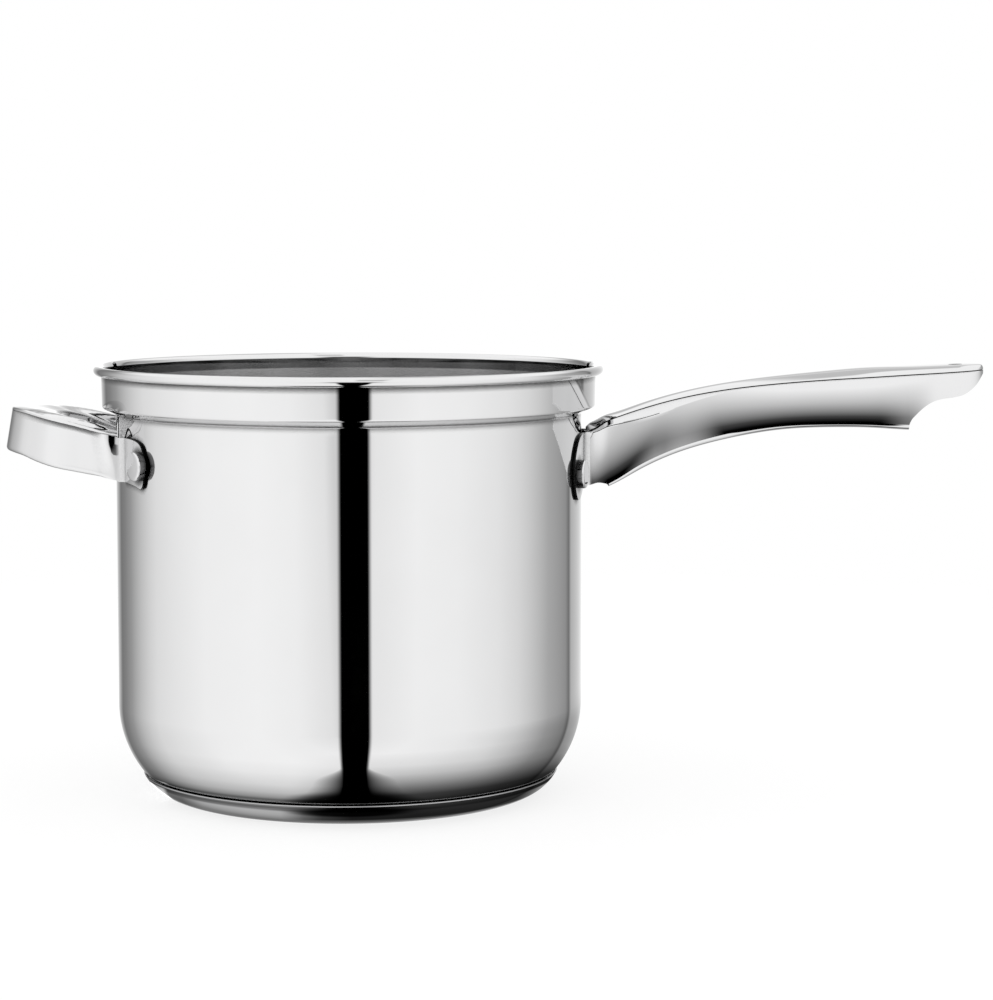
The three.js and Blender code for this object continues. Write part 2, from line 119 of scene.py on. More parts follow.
LONG_NOSE = ((262.5, 11.0), (268.5, 9.3), (272.4, 6.7), (274.5, 3.6), (275.2, 0.0))
NOSE_START = 0.62
LONG_FLARE = 0.02  # slope of the channel's wall at its floor
LONG_BULGE = 0.19  # how much wider the channel is at its floor than at the seam, as a share
CHANNEL_START = 111.0
CHANNEL_END = 240.4
CHANNEL_CORNER = 2.2
CHANNEL_CORNER_START = 1.2
CHANNEL_CORNER_FULL = 125  # distance from the axis where the corner reaches its full radius
SHOULDER = 3.6  # greatest width of the bright shoulder under the seam
SHOULDER_ENDS = (0.3, 0.5)
SHOULDER_PLACES = (102.5, 129, 170)  # where it starts, is widest and ends
CREASE_SHADE_PLACES = (104.5, 134)  # where the groove under it is painted dark, as shade
SHOULDER_SLANT = 0.62
SHOULDER_ROWS = 0.14  # share of the wall's rows that the shoulder takes
GROOVE_ROWS = (0.152, 0.165)  # where the groove under it ends, and the first row below
WIDENING_FADES = 6  # below this half width, at the nose, the wall's widening fades
CROWN_FADES = 5  # and so does the crown
ROOT_FLARE = 0.95  # how much wider the channel's foot is where it meets the pot
ROOT_END = 134
ROOT_BEND = 1.5
GROOVE = 0.22
GROOVE_HALF = 0.3
GROOVE_SHOULDER = (0.9, 3.15)  # the groove deepens while the shoulder grows between these sizes
GROOVE_FADES = (140, 128)
ARCH = ((103.4, 133.9), (104.6, 134.5), (106.3, 134.9), (108.3, 134.75), (110.0, 134.4))
SCOOP = (
    (240.4, 159.4), (241.2, 161.2), (242.4, 162.7), (244.6, 164.9), (247.6, 167.4), (250.5, 169.1),
    (254.0, 170.2), (258.2, 170.9), (264.2, 172.0), (268.3, 174.4), (271.2, 177.0), (273.6, 180.0),
    (275.2, 181.6),
)
LONG_EAR_EDGE = 20.3  # degrees round the pot
LONG_FOLD = 3.2
LONG_FOLD_SLOPE = 0.066
FOLD_CLEAR = 1.2  # from the fold to the wall's next station
HANG_HOLE = 262.9
HANG_HOLE_RADIUS = 2
HANG_HOLE_SINK = 1.1  # how far the hole widens at the surface
HANG_HOLE_SINK_DEPTH = 0.8
DRILL_REACH = 9
LONG_TOP_EDGE = SEAM_GAP + 0.3
CROWN_POWERS = (2.4, 6.0)  # round near the pot, flatter towards the tip
CROWN_FLATTENS = (215, 255)
TONGUE_END = 102.2
TONGUE_LENGTH = 16
TONGUE_LEAD = 0.35  # its curve begins before its end, so that the end is blunt
LONG_RIVET = (16, 139.9)  # degrees round the pot, height

# Upper and lower outline of the long handle's ear. The first number is degrees of a quarter turn, from
# the fold to the ear's edge.
LONG_EAR = (
    (0, 156.4, 133.9), (11.5, 156.4, 132.0), (25.5, 156.0, 129.9), (38, 154.9, 128.8),
    (51, 152.3, 129.9), (64, 149.0, 132.9), (76, 146.0, 136.5), (90, 143.3, 140.4),
)

# The helper handle as seen from above, from the pot to its middle: distance from the pot's axis and
# from the handle's middle line, height of the seam, depth below it and crown of the top plate
HELPER_LINES = (
    (96.6, 37.2, 157.0, 18.4, 2.9),
    (104.2, 36.9, 158.6, 18.4, 2.9),
    (114.2, 35.6, 161.1, 19.0, 2.45),
    (125.0, 32.9, 163.4, 19.4, 1.9),
    (130.2, 28.9, 164.3, 19.2, 1.7),
    (135.2, 23.6, 165.2, 18.7, 1.2),
    (139.3, 18.7, 165.9, 18.1, 1.0),
    (143.1, 12.7, 166.2, 17.8, 0.9),
    (146.0, 6.6, 166.35, 17.6, 0.9),
    (147.2, 0.0, 166.4, 17.6, 0.9),
)
HELPER_LEAN = 3  # how far the band's upper edge leans in
HELPER_LEAN_STARTS = (102.5, 97)  # at the band's upper and lower edge
HELPER_LEAN_LENGTH = 6
HELPER_ROLL = 2.2  # how far the band's lower edge rolls inwards
ROLL_STATIONS = 10  # from the fold until the roll is full
ROLL_END = 0.985  # share of the quarter round that is drawn
HELPER_INNER_DROP = 0.7  # the top plate's inner edge below the seam
HELPER_GRIP = 19
HELPER_ARM = 9.6
HELPER_LIP = 3.6
TOP_PLATE_GAP = 0.35  # between the top plate and the pot's wall
HELPER_EDGE_ROUND = 0.9
HELPER_LIP_ROUND = 1.3
HELPER_EAR_EDGE = 33.0
HELPER_FOLD = 3.4
HELPER_FOLD_SLOPE = 0.04
HELPER_PINCH = 0.13  # how far the band draws in just before its fold
PINCH_PLACES = (101, 98)
PINCH_HEIGHTS = (149, 154)
HELPER_RIVET = (30.6, 145.8)
HELPER_EAR = (
    (0, 156.6, 138.2), (25, 156.4, 137.7), (44, 155.6, 137.0), (59, 154.1, 136.6),
    (70, 152.0, 137.9), (80, 149.6, 140.4), (90, 146.9, 143.1),
)

# Finish of the steels, and the shade painted into their corners
PAINTED_SHADE_REACH = 3  # how near something has to be for the painted shade to darken a corner
PAINTED_SHADE_OPENNESS = (0.96, 0.75)  # where the painted shade begins and where it is full
RELIEF_DEPTH = 0.2
RING_WOBBLE = 1.5
RING_DEPTH = 0.35
RING_ROUGHNESS = 0.12
SCRATCHES = 9000.0  # per metre of radius
INSIDE_RADIUS = 99.5  # a floor is inside the pot up to here
SATIN_EDGE = 0.3  # half of the height in which the satin ends
CURL_EDGE = 0.5

# Camera of the photograph
CAMERA_PLACE = (0.0, -1283.0, 249.3)
CAMERA_PITCH = 5.47  # degrees below level
CAMERA_YAW = 2.83  # degrees towards +X
CAMERA_LENS = 107.24
CAMERA_SENSOR = 36


# Lines and profiles

def smooth_line(places, values):
    """A natural cubic spline through the values, as a function of the place."""
    x, y = np.array(places, float), np.array(values, float)
    count, step = len(x), np.diff(x)
    matrix, right = np.eye(count), np.zeros(count)
    for i in range(1, count - 1):
        matrix[i, i - 1:i + 2] = step[i - 1], 2 * (step[i - 1] + step[i]), step[i]
        right[i] = 6 * ((y[i + 1] - y[i]) / step[i] - (y[i] - y[i - 1]) / step[i - 1])
    bend = np.linalg.solve(matrix, right)

    def at(place):
        i = int(np.clip(np.searchsorted(x, place) - 1, 0, count - 2))
        before, after, h = place - x[i], x[i + 1] - place, step[i]
        curve = (bend[i] * after ** 3 + bend[i + 1] * before ** 3) / (6 * h)
        line = (y[i] / h - bend[i] * h / 6) * after + (y[i + 1] / h - bend[i + 1] * h / 6) * before
        return float(curve + line)

    return at


def smooth_path(points):
    """A spline through plan points, as a function of a share from 0 to 1 of the distance along it."""
    points = np.array(points, float)
    along = np.concatenate([[0], np.cumsum(np.linalg.norm(np.diff(points, axis=0), axis=1))])
    lines = [smooth_line(along, points[:, k]) for k in range(points.shape[1])]
    return lambda share: [line(share * along[-1]) for line in lines]


def full_circle(step):
    """Angles all the way round, a step of degrees apart."""
    return np.radians(np.arange(0, 360, step))


def arc(middle, radius, start, end, steps):
    """Points on an arc, from one angle to another in degrees."""
    angles = np.radians(np.linspace(start, end, steps + 1))
    return [(middle[0] + radius * math.cos(a), middle[1] + radius * math.sin(a)) for a in angles]


def rounded(before, corner, after, radius, steps):
    """An arc in place of a corner between two straight lines."""
    a, b, c = (np.array(p, float) for p in (before, corner, after))
    to_a, to_c = (a - b) / np.linalg.norm(a - b), (c - b) / np.linalg.norm(c - b)
    half = math.acos(float(np.clip(to_a @ to_c, -1, 1))) / 2
    middle = b + (to_a + to_c) / np.linalg.norm(to_a + to_c) * radius / math.sin(half)
    start = b + to_a * radius / math.tan(half)
    turn = math.pi - 2 * half
    if to_a[0] * to_c[1] - to_a[1] * to_c[0] > 0:
        turn = -turn
    out = []
    for i in range(steps + 1):
        angle = turn * i / steps
        x, y = start - middle
        out.append((
            middle[0] + x * math.cos(angle) - y * math.sin(angle),
            middle[1] + x * math.sin(angle) + y * math.cos(angle),
        ))
    return out


def offset_path(path, distance):
    """The path moved to the left of its direction."""
    points = np.array(path, float)
    ahead = np.diff(points, axis=0)
    ahead /= np.linalg.norm(ahead, axis=1)[:, None]
    arriving = np.vstack([ahead[:1], ahead])
    leaving = np.vstack([ahead, ahead[-1:]])
    middle = arriving + leaving
    middle /= np.linalg.norm(middle, axis=1)[:, None]
    stretch = distance / np.sum(middle * arriving, axis=1)
    side = np.stack([-middle[:, 1], middle[:, 0]], axis=1)
    return [tuple(p) for p in points + side * stretch[:, None]]


def ease(share):
    share = min(max(share, 0.0), 1.0)
    return share * share * (3 - 2 * share)


def eased(value, start, end):
    return ease((value - start) / (end - start))


def between(low, high, share):
    return low + (high - low) * share


# Meshes

def new_object(name, data):
    made = bpy.data.objects.new(name, data)
    bpy.context.scene.collection.objects.link(made)
    return made


def new_mesh(name, vertices, faces):
    """A mesh from vertices in millimetres."""
    mesh = bpy.data.meshes.new(name)
    mesh.from_pydata([tuple(c * MM for c in v) for v in vertices], [], faces)
    return mesh


def add_piece(name, vertices, faces, material, node, sharp=35):
    """A smooth mesh that rides on the pot and stands for its CAD node. Edges that turn by more than sharp
    degrees stay crisp."""
    mesh = new_mesh(name, vertices, faces)
    mesh.validate()
    shape = bmesh.new()
    shape.from_mesh(mesh)
    bmesh.ops.remove_doubles(shape, verts=shape.verts, dist=0.004 * MM)
    for face in shape.faces:
        face.smooth = True
    for edge in shape.edges:
        if len(edge.link_faces) == 2 and edge.calc_face_angle(0) > math.radians(sharp):
            edge.smooth = False
    shape.to_mesh(mesh)
    shape.free()
    mesh.materials.append(material)
    piece = new_object(name, mesh)
    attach(piece, "root")
    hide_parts(node)
    return piece


def turned(profile, angles, skip=None):
    """Vertices and faces of a closed profile of radius and height, turned round the Z axis. A profile
    point on the axis is one vertex. skip says which faces to leave out, by their row and column."""
    vertices, rings = [], []
    for radius, height in profile:
        if abs(radius) < 1e-6:
            rings.append([len(vertices)] * len(angles))
            vertices.append((0, 0, height))
            continue
        rings.append(list(range(len(vertices), len(vertices) + len(angles))))
        vertices += [(radius * math.cos(a), radius * math.sin(a), height) for a in angles]
    faces = []
    for row, (low, high) in enumerate(zip(rings, rings[1:])):
        for column in range(len(angles)):
            if skip and skip(row, column):
                continue
            after = (column + 1) % len(angles)
            face = [low[column], low[after], high[after], high[column]]
            face = [v for i, v in enumerate(face) if v != face[i - 1]]
            if len(face) > 2:
                faces.append(face)
    return vertices, faces, rings


def grid_faces(grid):
    """Faces between the rows of a grid of vertex numbers."""
    return [
        (a[i], a[i + 1], b[i + 1], b[i])
        for a, b in zip(grid, grid[1:])
        for i in range(len(a) - 1)
    ]


def numbered(points):
    """A grid of points as a flat list and the grid of their numbers."""
    flat = [p for row in points for p in row]
    numbers = iter(range(len(flat)))
    return flat, [[next(numbers) for _ in row] for row in points]


def make_sheet(piece, thickness, edge_round=EDGE_ROUND):
    """Gives a skin the thickness of its sheet, inwards, and breaks the sheet's edges."""
    solid = piece.modifiers.new("sheet", "SOLIDIFY")
    solid.thickness = thickness * MM
    solid.offset = -1
    solid.use_even_offset = True
    # The sheet's cut edges take the near-black second material, a painted dark reflection.
    piece.data.materials.append(PAINTED_DARK_STEEL)
    solid.material_offset_rim = 1
    soften = piece.modifiers.new("broken_edges", "BEVEL")
    soften.width = edge_round * MM
    soften.segments = 3
    soften.limit_method = "ANGLE"
    soften.angle_limit = math.radians(EDGE_ANGLE)
    soften.harden_normals = True


def mark_faces(mesh, chosen):
    """Gives the second material to the faces whose middle is chosen."""
    for polygon in mesh.polygons:
        if chosen(polygon.center / MM):
            polygon.material_index = 1


def agree_normals(mesh):
    shape = bmesh.new()
    shape.from_mesh(mesh)
    bmesh.ops.recalc_face_normals(shape, faces=shape.faces)
    shape.to_mesh(mesh)
    shape.free()


def face_outwards(piece, outward):
    """Turns the faces over if most of them point against outward."""
    mesh = piece.data
    score = 0.0
    for polygon in mesh.polygons:
        score += polygon.normal.dot(outward(polygon.center / MM)) * polygon.area
    if score < 0:
        mesh.flip_normals()


# Materials

def node_group(name, inputs, outputs):
    """A group and the sockets that give its inputs. All are numbers, apart from Tone and Color."""
    group = bpy.data.node_groups.new(name, "ShaderNodeTree")
    for way, labels in (("INPUT", inputs), ("OUTPUT", outputs)):
        for label in labels:
            kind = "NodeSocketColor" if label in ("Tone", "Color") else "NodeSocketFloat"
            group.interface.new_socket(label, in_out=way, socket_type=kind)
    return group, group.nodes.new("NodeGroupInput").outputs


def add_node(tree, kind, inputs=None, **settings):
    """A node with its settings and inputs. An input that is a socket is linked."""
    made = tree.nodes.new(kind)
    for key, value in settings.items():
        setattr(made, key, value)
    for key, value in (inputs or {}).items():
        if isinstance(value, bpy.types.NodeSocket):
            tree.links.new(value, made.inputs[key])
        else:
            made.inputs[key].default_value = value
    return made


def maths(tree, operation, *values):
    return add_node(tree, "ShaderNodeMath", dict(enumerate(values)), operation=operation).outputs[0]


def product(tree, first, *others):
    for other in others:
        first = maths(tree, "MULTIPLY", first, other)
    return first


def mixed(tree, low, high, share):
    """A level between two others."""
    return maths(tree, "MULTIPLY_ADD", share, maths(tree, "SUBTRACT", high, low), low)


def in_range(tree, value, low, high, to_low=0.0, to_high=1.0, smooth=True):
    bounds = {"From Min": low, "From Max": high, "To Min": to_low, "To Max": to_high}
    made = add_node(tree, "ShaderNodeMapRange", {"Value": value, **bounds},
                    interpolation_type="SMOOTHSTEP" if smooth else "LINEAR")
    return made.outputs[0]


def noise(tree, place, scale, detail=2.0, roughness=0.5):
    made = add_node(tree, "ShaderNodeTexNoise",
                    {"Vector": place, "Scale": scale, "Detail": detail, "Roughness": roughness})
    return made.outputs["Fac"]


def scaled(tree, colour, amount):
    made = add_node(tree, "ShaderNodeVectorMath", {0: colour, "Scale": amount}, operation="SCALE")
    return made.outputs[0]


def own_place(tree):
    """The place on the object, in the object's own frame."""
    return add_node(tree, "ShaderNodeTexCoord").outputs["Object"]


def length_of(tree, vector):
    return add_node(tree, "ShaderNodeVectorMath", {0: vector}, operation="LENGTH").outputs["Value"]


def parts_of(tree, vector):
    return add_node(tree, "ShaderNodeSeparateXYZ", {0: vector}).outputs


def polished_and_shade_group():
    """The finish of buffed steel: a faint cloud of tone, wiping marks in the gloss and a little ripple,
    and painted shade that darkens its corners.
    """
    group, given = node_group(
        "buffed_steel_and_shade", ("Tone", "Gloss", "Cloud", "Wiping", "Ripple", "CornerShade"),
        ("Color", "Roughness", "Height"),
    )
    place = own_place(group)
    cloud = in_range(group, noise(group, place, 22.0, 4.0, 0.55), 0.35, 0.7)
    shade = product(group, cloud, given["Cloud"])
    # Painted shade: ambient occlusion darkens the colour in corners and crevices.
    around = add_node(group, "ShaderNodeAmbientOcclusion", {"Distance": PAINTED_SHADE_REACH * MM}, samples=6)
    closed_in = in_range(group, around.outputs["AO"], *PAINTED_SHADE_OPENNESS)
    painted_shade = product(group, closed_in, given["CornerShade"])
    keep = maths(group, "SUBTRACT", maths(group, "SUBTRACT", 1.0, shade), painted_shade)
    stretched = add_node(group, "ShaderNodeMapping", {"Vector": place, "Scale": (1.0, 1.0, 9.0)})
    marks = in_range(group, noise(group, stretched.outputs[0], 60.0, 5.0, 0.6), 0.4, 0.75)
    add_node(group, "NodeGroupOutput", {
        "Color": scaled(group, given["Tone"], keep),
        "Roughness": maths(group, "MULTIPLY_ADD", marks, given["Wiping"], given["Gloss"]),
        "Height": product(group, noise(group, place, 45.0, 1.0), given["Ripple"]),
    })
    return group


def from_axis(tree, place):
    """The vector from the pot's axis to a place, and its length."""
    x, y, _ = parts_of(tree, place)
    flat = add_node(tree, "ShaderNodeCombineXYZ", {0: x, 1: y}).outputs[0]
    return flat, length_of(tree, flat)


def turned_group():
    """Fine rings left by turning, round the pot's axis."""
    group, given = node_group("turned_rings", ("Pitch", "Depth", "Inner", "Outer"), ("Height", "Mask"))
    flat, radius = from_axis(group, own_place(group))
    phase = maths(group, "DIVIDE", radius, given["Pitch"])
    phase = maths(group, "MULTIPLY_ADD", noise(group, flat, 8.0), RING_WOBBLE, phase)
    rings = maths(group, "SINE", product(group, phase, math.tau))
    scratches = {"W": product(group, radius, SCRATCHES), "Scale": 1.0, "Detail": 3.0}
    fine = add_node(group, "ShaderNodeTexNoise", scratches, noise_dimensions="1D")
    height = maths(group, "MULTIPLY_ADD", rings, RING_DEPTH, fine.outputs["Fac"])
    mask = product(group, maths(group, "LESS_THAN", radius, given["Outer"]),
                   maths(group, "GREATER_THAN", radius, given["Inner"]))
    depth = product(group, height, mask, given["Depth"])
    add_node(group, "NodeGroupOutput", {"Height": depth, "Mask": mask})
    return group


def inner_side_group():
    """Where a wall faces the pot's axis, or a floor lies inside the pot."""
    group, _ = node_group("inner_side", (), ("Mask",))
    coordinates = add_node(group, "ShaderNodeTexCoord").outputs
    flat, radius = from_axis(group, coordinates["Object"])
    outward = add_node(group, "ShaderNodeVectorMath", {0: flat}, operation="NORMALIZE").outputs[0]
    facing = add_node(group, "ShaderNodeVectorMath", {0: outward, 1: coordinates["Normal"]},
                      operation="DOT_PRODUCT").outputs["Value"]
    upward = parts_of(group, coordinates["Normal"])[2]
    floor = product(group, in_range(group, upward, 0.0, 0.2),
                    maths(group, "LESS_THAN", radius, INSIDE_RADIUS * MM))
    wall = in_range(group, facing, 0.05, -0.2)
    add_node(group, "NodeGroupOutput", {"Mask": maths(group, "MAXIMUM", wall, floor)})
    return group


BUFFED_AND_SHADE = polished_and_shade_group()
RINGS = turned_group()
INNER_SIDE = inner_side_group()


def steel(name, tone, gloss, cloud, wiping, ripple, bump, rings=None, inner_satin_and_shade=None, corner_shade=0.85):
    """A steel with the buffed finish and painted shade in its corners. rings gives the pitch, depth and
    bounds of turned rings, corner_shade how dark its corners are painted as shade, and
    inner_satin_and_shade the side that faces the pot's axis: the tone and gloss of its satin part, and the
    tone of the polished band above it, whose darker tones are painted shade."""
    material = bpy.data.materials.new(name)
    material.use_nodes = True
    tree = material.node_tree
    shader = tree.nodes["Principled BSDF"]
    shader.inputs["Metallic"].default_value = 1.0
    values = {"Tone": (*tone, 1), "Gloss": gloss, "Cloud": cloud, "Wiping": wiping, "Ripple": ripple,
              "CornerShade": corner_shade}
    finish = add_node(tree, "ShaderNodeGroup", values, node_tree=BUFFED_AND_SHADE)
    colour = finish.outputs["Color"]
    height, rough = finish.outputs["Height"], finish.outputs["Roughness"]
    # Painted shade: inside the pot the colour is darkened, most in the polished band above the satin, and
    # the curl keeps the full tone.
    if inner_satin_and_shade:
        mask = add_node(tree, "ShaderNodeGroup", node_tree=INNER_SIDE).outputs["Mask"]
        height_here = parts_of(tree, own_place(tree))[2]
        satin = in_range(tree, height_here, (SATIN_TOP + SATIN_EDGE) * MM, (SATIN_TOP - SATIN_EDGE) * MM)
        curl_foot = RIM_HEIGHT - CURL_RADIUS
        curl = in_range(tree, height_here, (curl_foot - CURL_EDGE) * MM, curl_foot * MM)
        tone = mixed(tree, mixed(tree, inner_satin_and_shade[2], inner_satin_and_shade[0], satin), 1.0, curl)
        colour = scaled(tree, colour, mixed(tree, 1.0, tone, mask))
        rough = mixed(tree, rough, inner_satin_and_shade[1], product(tree, mask, satin))
    tree.links.new(colour, shader.inputs["Base Color"])
    if rings:
        values = dict(zip(("Pitch", "Depth", "Inner", "Outer"), rings))
        turning = add_node(tree, "ShaderNodeGroup", values, node_tree=RINGS)
        height = maths(tree, "ADD", height, turning.outputs["Height"])
        rough = maths(tree, "MULTIPLY_ADD", turning.outputs["Mask"], RING_ROUGHNESS, rough)
    tree.links.new(rough, shader.inputs["Roughness"])
    values = {"Height": height, "Strength": bump, "Distance": RELIEF_DEPTH * MM}
    relief = add_node(tree, "ShaderNodeBump", values)
    tree.links.new(relief.outputs[0], shader.inputs["Normal"])
    return material


# Inside the pot the satin is painted to 0.95 and the polished band to 0.42 of the tone, as shade, and
# corner_shade darkens the corners.
POT_STEEL = steel("mirror_steel", (0.655, 0.655, 0.657), 0.012, 0.015, 0.012, 0.25, 0.02,
                  inner_satin_and_shade=(0.95, 0.14, 0.42), corner_shade=0.97)
HANDLE_STEEL = steel("handle_steel", (0.655, 0.655, 0.658), 0.02, 0.02, 0.02, 0.3, 0.03)
# Near black: a painted dark reflection on the sheets' cut edges, and painted shade in the long handle's
# groove and in the hang hole.
PAINTED_DARK_STEEL = steel("painted_dark_edge", (0.06, 0.06, 0.06), 0.3, 0.1, 0.15, 0.6, 0.2)
CAP_STEEL = steel("cap_steel", (0.63, 0.63, 0.634), 0.03, 0.03, 0.03, 0.3, 0.05,
                  rings=(0.0011, 0.5, 0.0, 0.0728), corner_shade=0.2)
# Painted shade: the top of the cap's lip, where it meets the body, is darker.
LIP_SHADE_STEEL = steel("cap_lip_painted_shade", (0.36, 0.36, 0.363), 0.08, 0.1, 0.06, 0.4, 0.06, corner_shade=0.0)
RIVET_STEEL = steel("rivet_steel", (0.65, 0.65, 0.655), 0.04, 0.03, 0.04, 0.4, 0.06)
# Painted shade: the sides of the rivet heads are dark.
RIVET_SIDE_SHADE_STEEL = steel("rivet_side_painted_shade", (0.13, 0.13, 0.132), 0.12, 0.05, 0.05, 0.4, 0.06)
CORE_METAL = steel("core_aluminium", (0.72, 0.72, 0.73), 0.3, 0.08, 0.15, 0.5, 0.3)


# Pot body

def body_profile():
    """The outer face of the sheet from the middle of the floor to the end of the curl."""
    corner_x = BODY_RADIUS - CORNER_RADIUS
    turn = math.radians(CORNER_TURN)
    heel = (corner_x + (CORNER_RADIUS - HEEL_RADIUS) * math.cos(turn), FLOOR_HEIGHT + HEEL_RADIUS)
    corner = (corner_x, heel[1] + (CORNER_RADIUS - HEEL_RADIUS) * math.sin(turn))
    step_top = (BODY_RADIUS + COLLAR_WIDTH, COLLAR_FOOT + COLLAR_RISE)
    top_x = step_top[0] + COLLAR_FLARE
    curl = (top_x - BODY_WALL + CURL_RADIUS, RIM_HEIGHT - CURL_RADIUS)
    path = [(r, FLOOR_HEIGHT) for r in (*FLOOR_ROWS, heel[0] - WALL_ROWS[0])]
    path += arc(heel, HEEL_RADIUS, -90, -CORNER_TURN, 14)
    path += arc(corner, CORNER_RADIUS, -CORNER_TURN, 0, 16)[1:]
    path += [(BODY_RADIUS, corner[1] + rise) for rise in WALL_ROWS]
    foot = (BODY_RADIUS, COLLAR_FOOT)
    path += rounded(path[-1], foot, step_top, COLLAR_FOOT_ROUND, 5)
    path += rounded(foot, step_top, (top_x, curl[1]), COLLAR_STEP_ROUND, 6)
    wall_start = path[-1]
    for share in COLLAR_ROWS:
        path.append((between(wall_start[0], top_x, share), between(wall_start[1], curl[1], share)))
    curl_start = len(path)
    path += arc(curl, CURL_RADIUS - BODY_WALL, 180, CURL_END, 26)
    return path, curl_start


def body_angles():
    """Columns of vertices round the pot, with one on each side of each notch."""
    half = math.degrees(math.asin(NOTCH_WIDTH / 2 / (BODY_RADIUS + COLLAR_WIDTH + CURL_RADIUS)))
    sides = [a + s * half for a in NOTCH_AZIMUTHS for s in (-1, 1)]
    regular = [a for a in np.arange(0, 360, 1.0) if all(abs(a - s) > 0.5 for s in sides)]
    return sorted(regular + sides), sides


def add_body():
    outside, curl_start = body_profile()
    inside = offset_path(outside, BODY_WALL)
    inside[0] = (0, inside[0][1])
    profile = outside + inside[::-1]
    degrees, sides = body_angles()
    last = len(profile) - 1
    cut = set()
    for low, high in zip(sides[::2], sides[1::2]):
        cut |= {i for i, a in enumerate(degrees) if low - 1e-6 <= a < high - 1e-6}
    vertices, faces, rings = turned(
        profile, np.radians(degrees),
        skip=lambda row, column: column in cut and curl_start <= row < last - curl_start,
    )
    for low, high in zip(sides[::2], sides[1::2]):
        first, end = degrees.index(low), degrees.index(high)
        for column in (first, end):
            for row in range(curl_start, len(outside) - 1):
                faces.append((rings[row][column], rings[row + 1][column],
                              rings[last - row - 1][column], rings[last - row][column]))
        for column in range(first, end):
            faces.append((rings[curl_start][column], rings[curl_start][column + 1],
                          rings[last - curl_start][column + 1], rings[last - curl_start][column]))
    piece = add_piece("pot_wall", vertices, faces, POT_STEEL, "pot_body")
    agree_normals(piece.data)


# Base cap and the core that it hides

def add_cap():
    width = CAP_RADIUS - CAP_FLAT
    side_radius = (width ** 2 + CAP_LIP ** 2) / (2 * CAP_LIP)
    end_angle = math.degrees(math.asin(width / side_radius)) - 90
    outside = [(r, 0.0) for r in CAP_ROWS]
    outside += arc((CAP_FLAT, side_radius), side_radius, -90, end_angle, 16)
    inside = offset_path(outside, CAP_WALL)
    inside[0] = (0, inside[0][1])
    end = (np.array(outside[-1]) + np.array(inside[-1])) / 2
    lip = arc(end, CAP_END_ROUND, end_angle, end_angle + 180, 6)[1:-1]
    profile = outside + lip + inside[::-1]
    vertices, faces, _ = turned(profile, full_circle(1.5))
    piece = add_piece("base_cap_shell", vertices, faces, CAP_STEEL, "base_cap")
    face_outwards(piece, lambda p: Vector((p.x, p.y, p.z - 4.0)))
    # The lip's top band is painted darker, as shade at the joint.
    piece.data.materials.append(LIP_SHADE_STEEL)
    mark_faces(piece.data, lambda place: place.z > CAP_LIP - CAP_LIP_BAND)


# Rivets

def add_rivet(name, azimuth, height):
    seat = EAR_FACE - RIVET_SINK
    inner_wall = BODY_RADIUS - BODY_WALL
    inner_seat = inner_wall - INNER_HEAD_GAP
    profile = [(radius, RIVET_TOP + rise) for radius, rise in RIVET_CROWN]
    profile += arc((RIVET_RADIUS - RIVET_ROUND, RIVET_TOP - RIVET_ROUND), RIVET_ROUND, 80, 0, 6)
    profile += [(RIVET_RADIUS, seat + RIVET_SIDE_ROW), (RIVET_RADIUS, seat), (SHANK_RADIUS, seat)]
    profile += [(SHANK_RADIUS, inner_seat), (INNER_HEAD_RADIUS, inner_seat)]
    for angle in np.radians(np.linspace(0, 90, 9)[1:]):
        lift = INNER_HEAD_HEIGHT * math.sin(angle)
        profile.append((INNER_HEAD_RADIUS * math.cos(angle), inner_seat - lift))
    profile[-1] = (0, profile[-1][1])
    vertices, faces, _ = turned(profile, full_circle(7.5))
    turn = Matrix.Rotation(math.radians(azimuth), 3, "Z") @ Matrix.Rotation(math.pi / 2, 3, "Y")
    up = Vector((0, 0, height))
    vertices = [tuple(turn @ Vector(v) + up) for v in vertices]
    piece = add_piece(name + "_heads", vertices, faces, RIVET_STEEL, name, sharp=50)
    # The sides of the heads are painted dark, as shade.
    piece.data.materials.append(RIVET_SIDE_SHADE_STEEL)
    middle = turn @ Vector((0, 0, (RIVET_TOP + inner_wall) / 2)) + up

    def on_head_side(place):
        out = turn.inverted() @ (place - up)
        return seat < out.z < RIVET_TOP - RIVET_ROUND and math.hypot(out.x, out.y) > RIVET_RADIUS * 0.95

    mark_faces(piece.data, on_head_side)
    face_outwards(piece, lambda p: p - middle)


# Handles

def ear_stations(outline, edge_azimuth, fold_radius, half_width, slope, rows):
    """Points of an ear and of the fold to the handle's wall, on the -Y side, from the ear's edge inward.
    half_width gives the wall's distance from the middle line at a height, and slope is how fast the wall
    closes in from there."""
    upper, lower = table_line(outline, 1), table_line(outline, 2)
    reach = EAR_FACE + fold_radius

    def fold(height):
        side = half_width(height) + fold_radius
        return math.sqrt(reach ** 2 - side ** 2), side, math.asin(side / reach)

    stations = []
    for quarter in np.linspace(90, 0, 22):
        turn = math.sin(math.radians(quarter))
        station = []
        for share in rows:
            z = between(upper(quarter), lower(quarter), share)
            azimuth = -between(fold(z)[2], math.radians(edge_azimuth), turn)
            station.append((EAR_FACE * math.cos(azimuth), EAR_FACE * math.sin(azimuth), z))
        stations.append(station)
    for step in np.linspace(0, 1, 9)[1:]:
        station = []
        for share in rows:
            z = between(upper(0), lower(0), share)
            x, side, azimuth = fold(z)
            angle = between(math.pi - azimuth, math.pi / 2 + slope, step)
            station.append((x + fold_radius * math.cos(angle), -side + fold_radius * math.sin(angle), z))
        stations.append(station)
    return stations


def mirrored(stations):
    """The same stations on the +Y side, in the opposite order."""
    return [[(x, -y, z) for x, y, z in station] for station in reversed(stations)]


def table_line(rows, column):
    return smooth_line([row[0] for row in rows], [row[column] for row in rows])


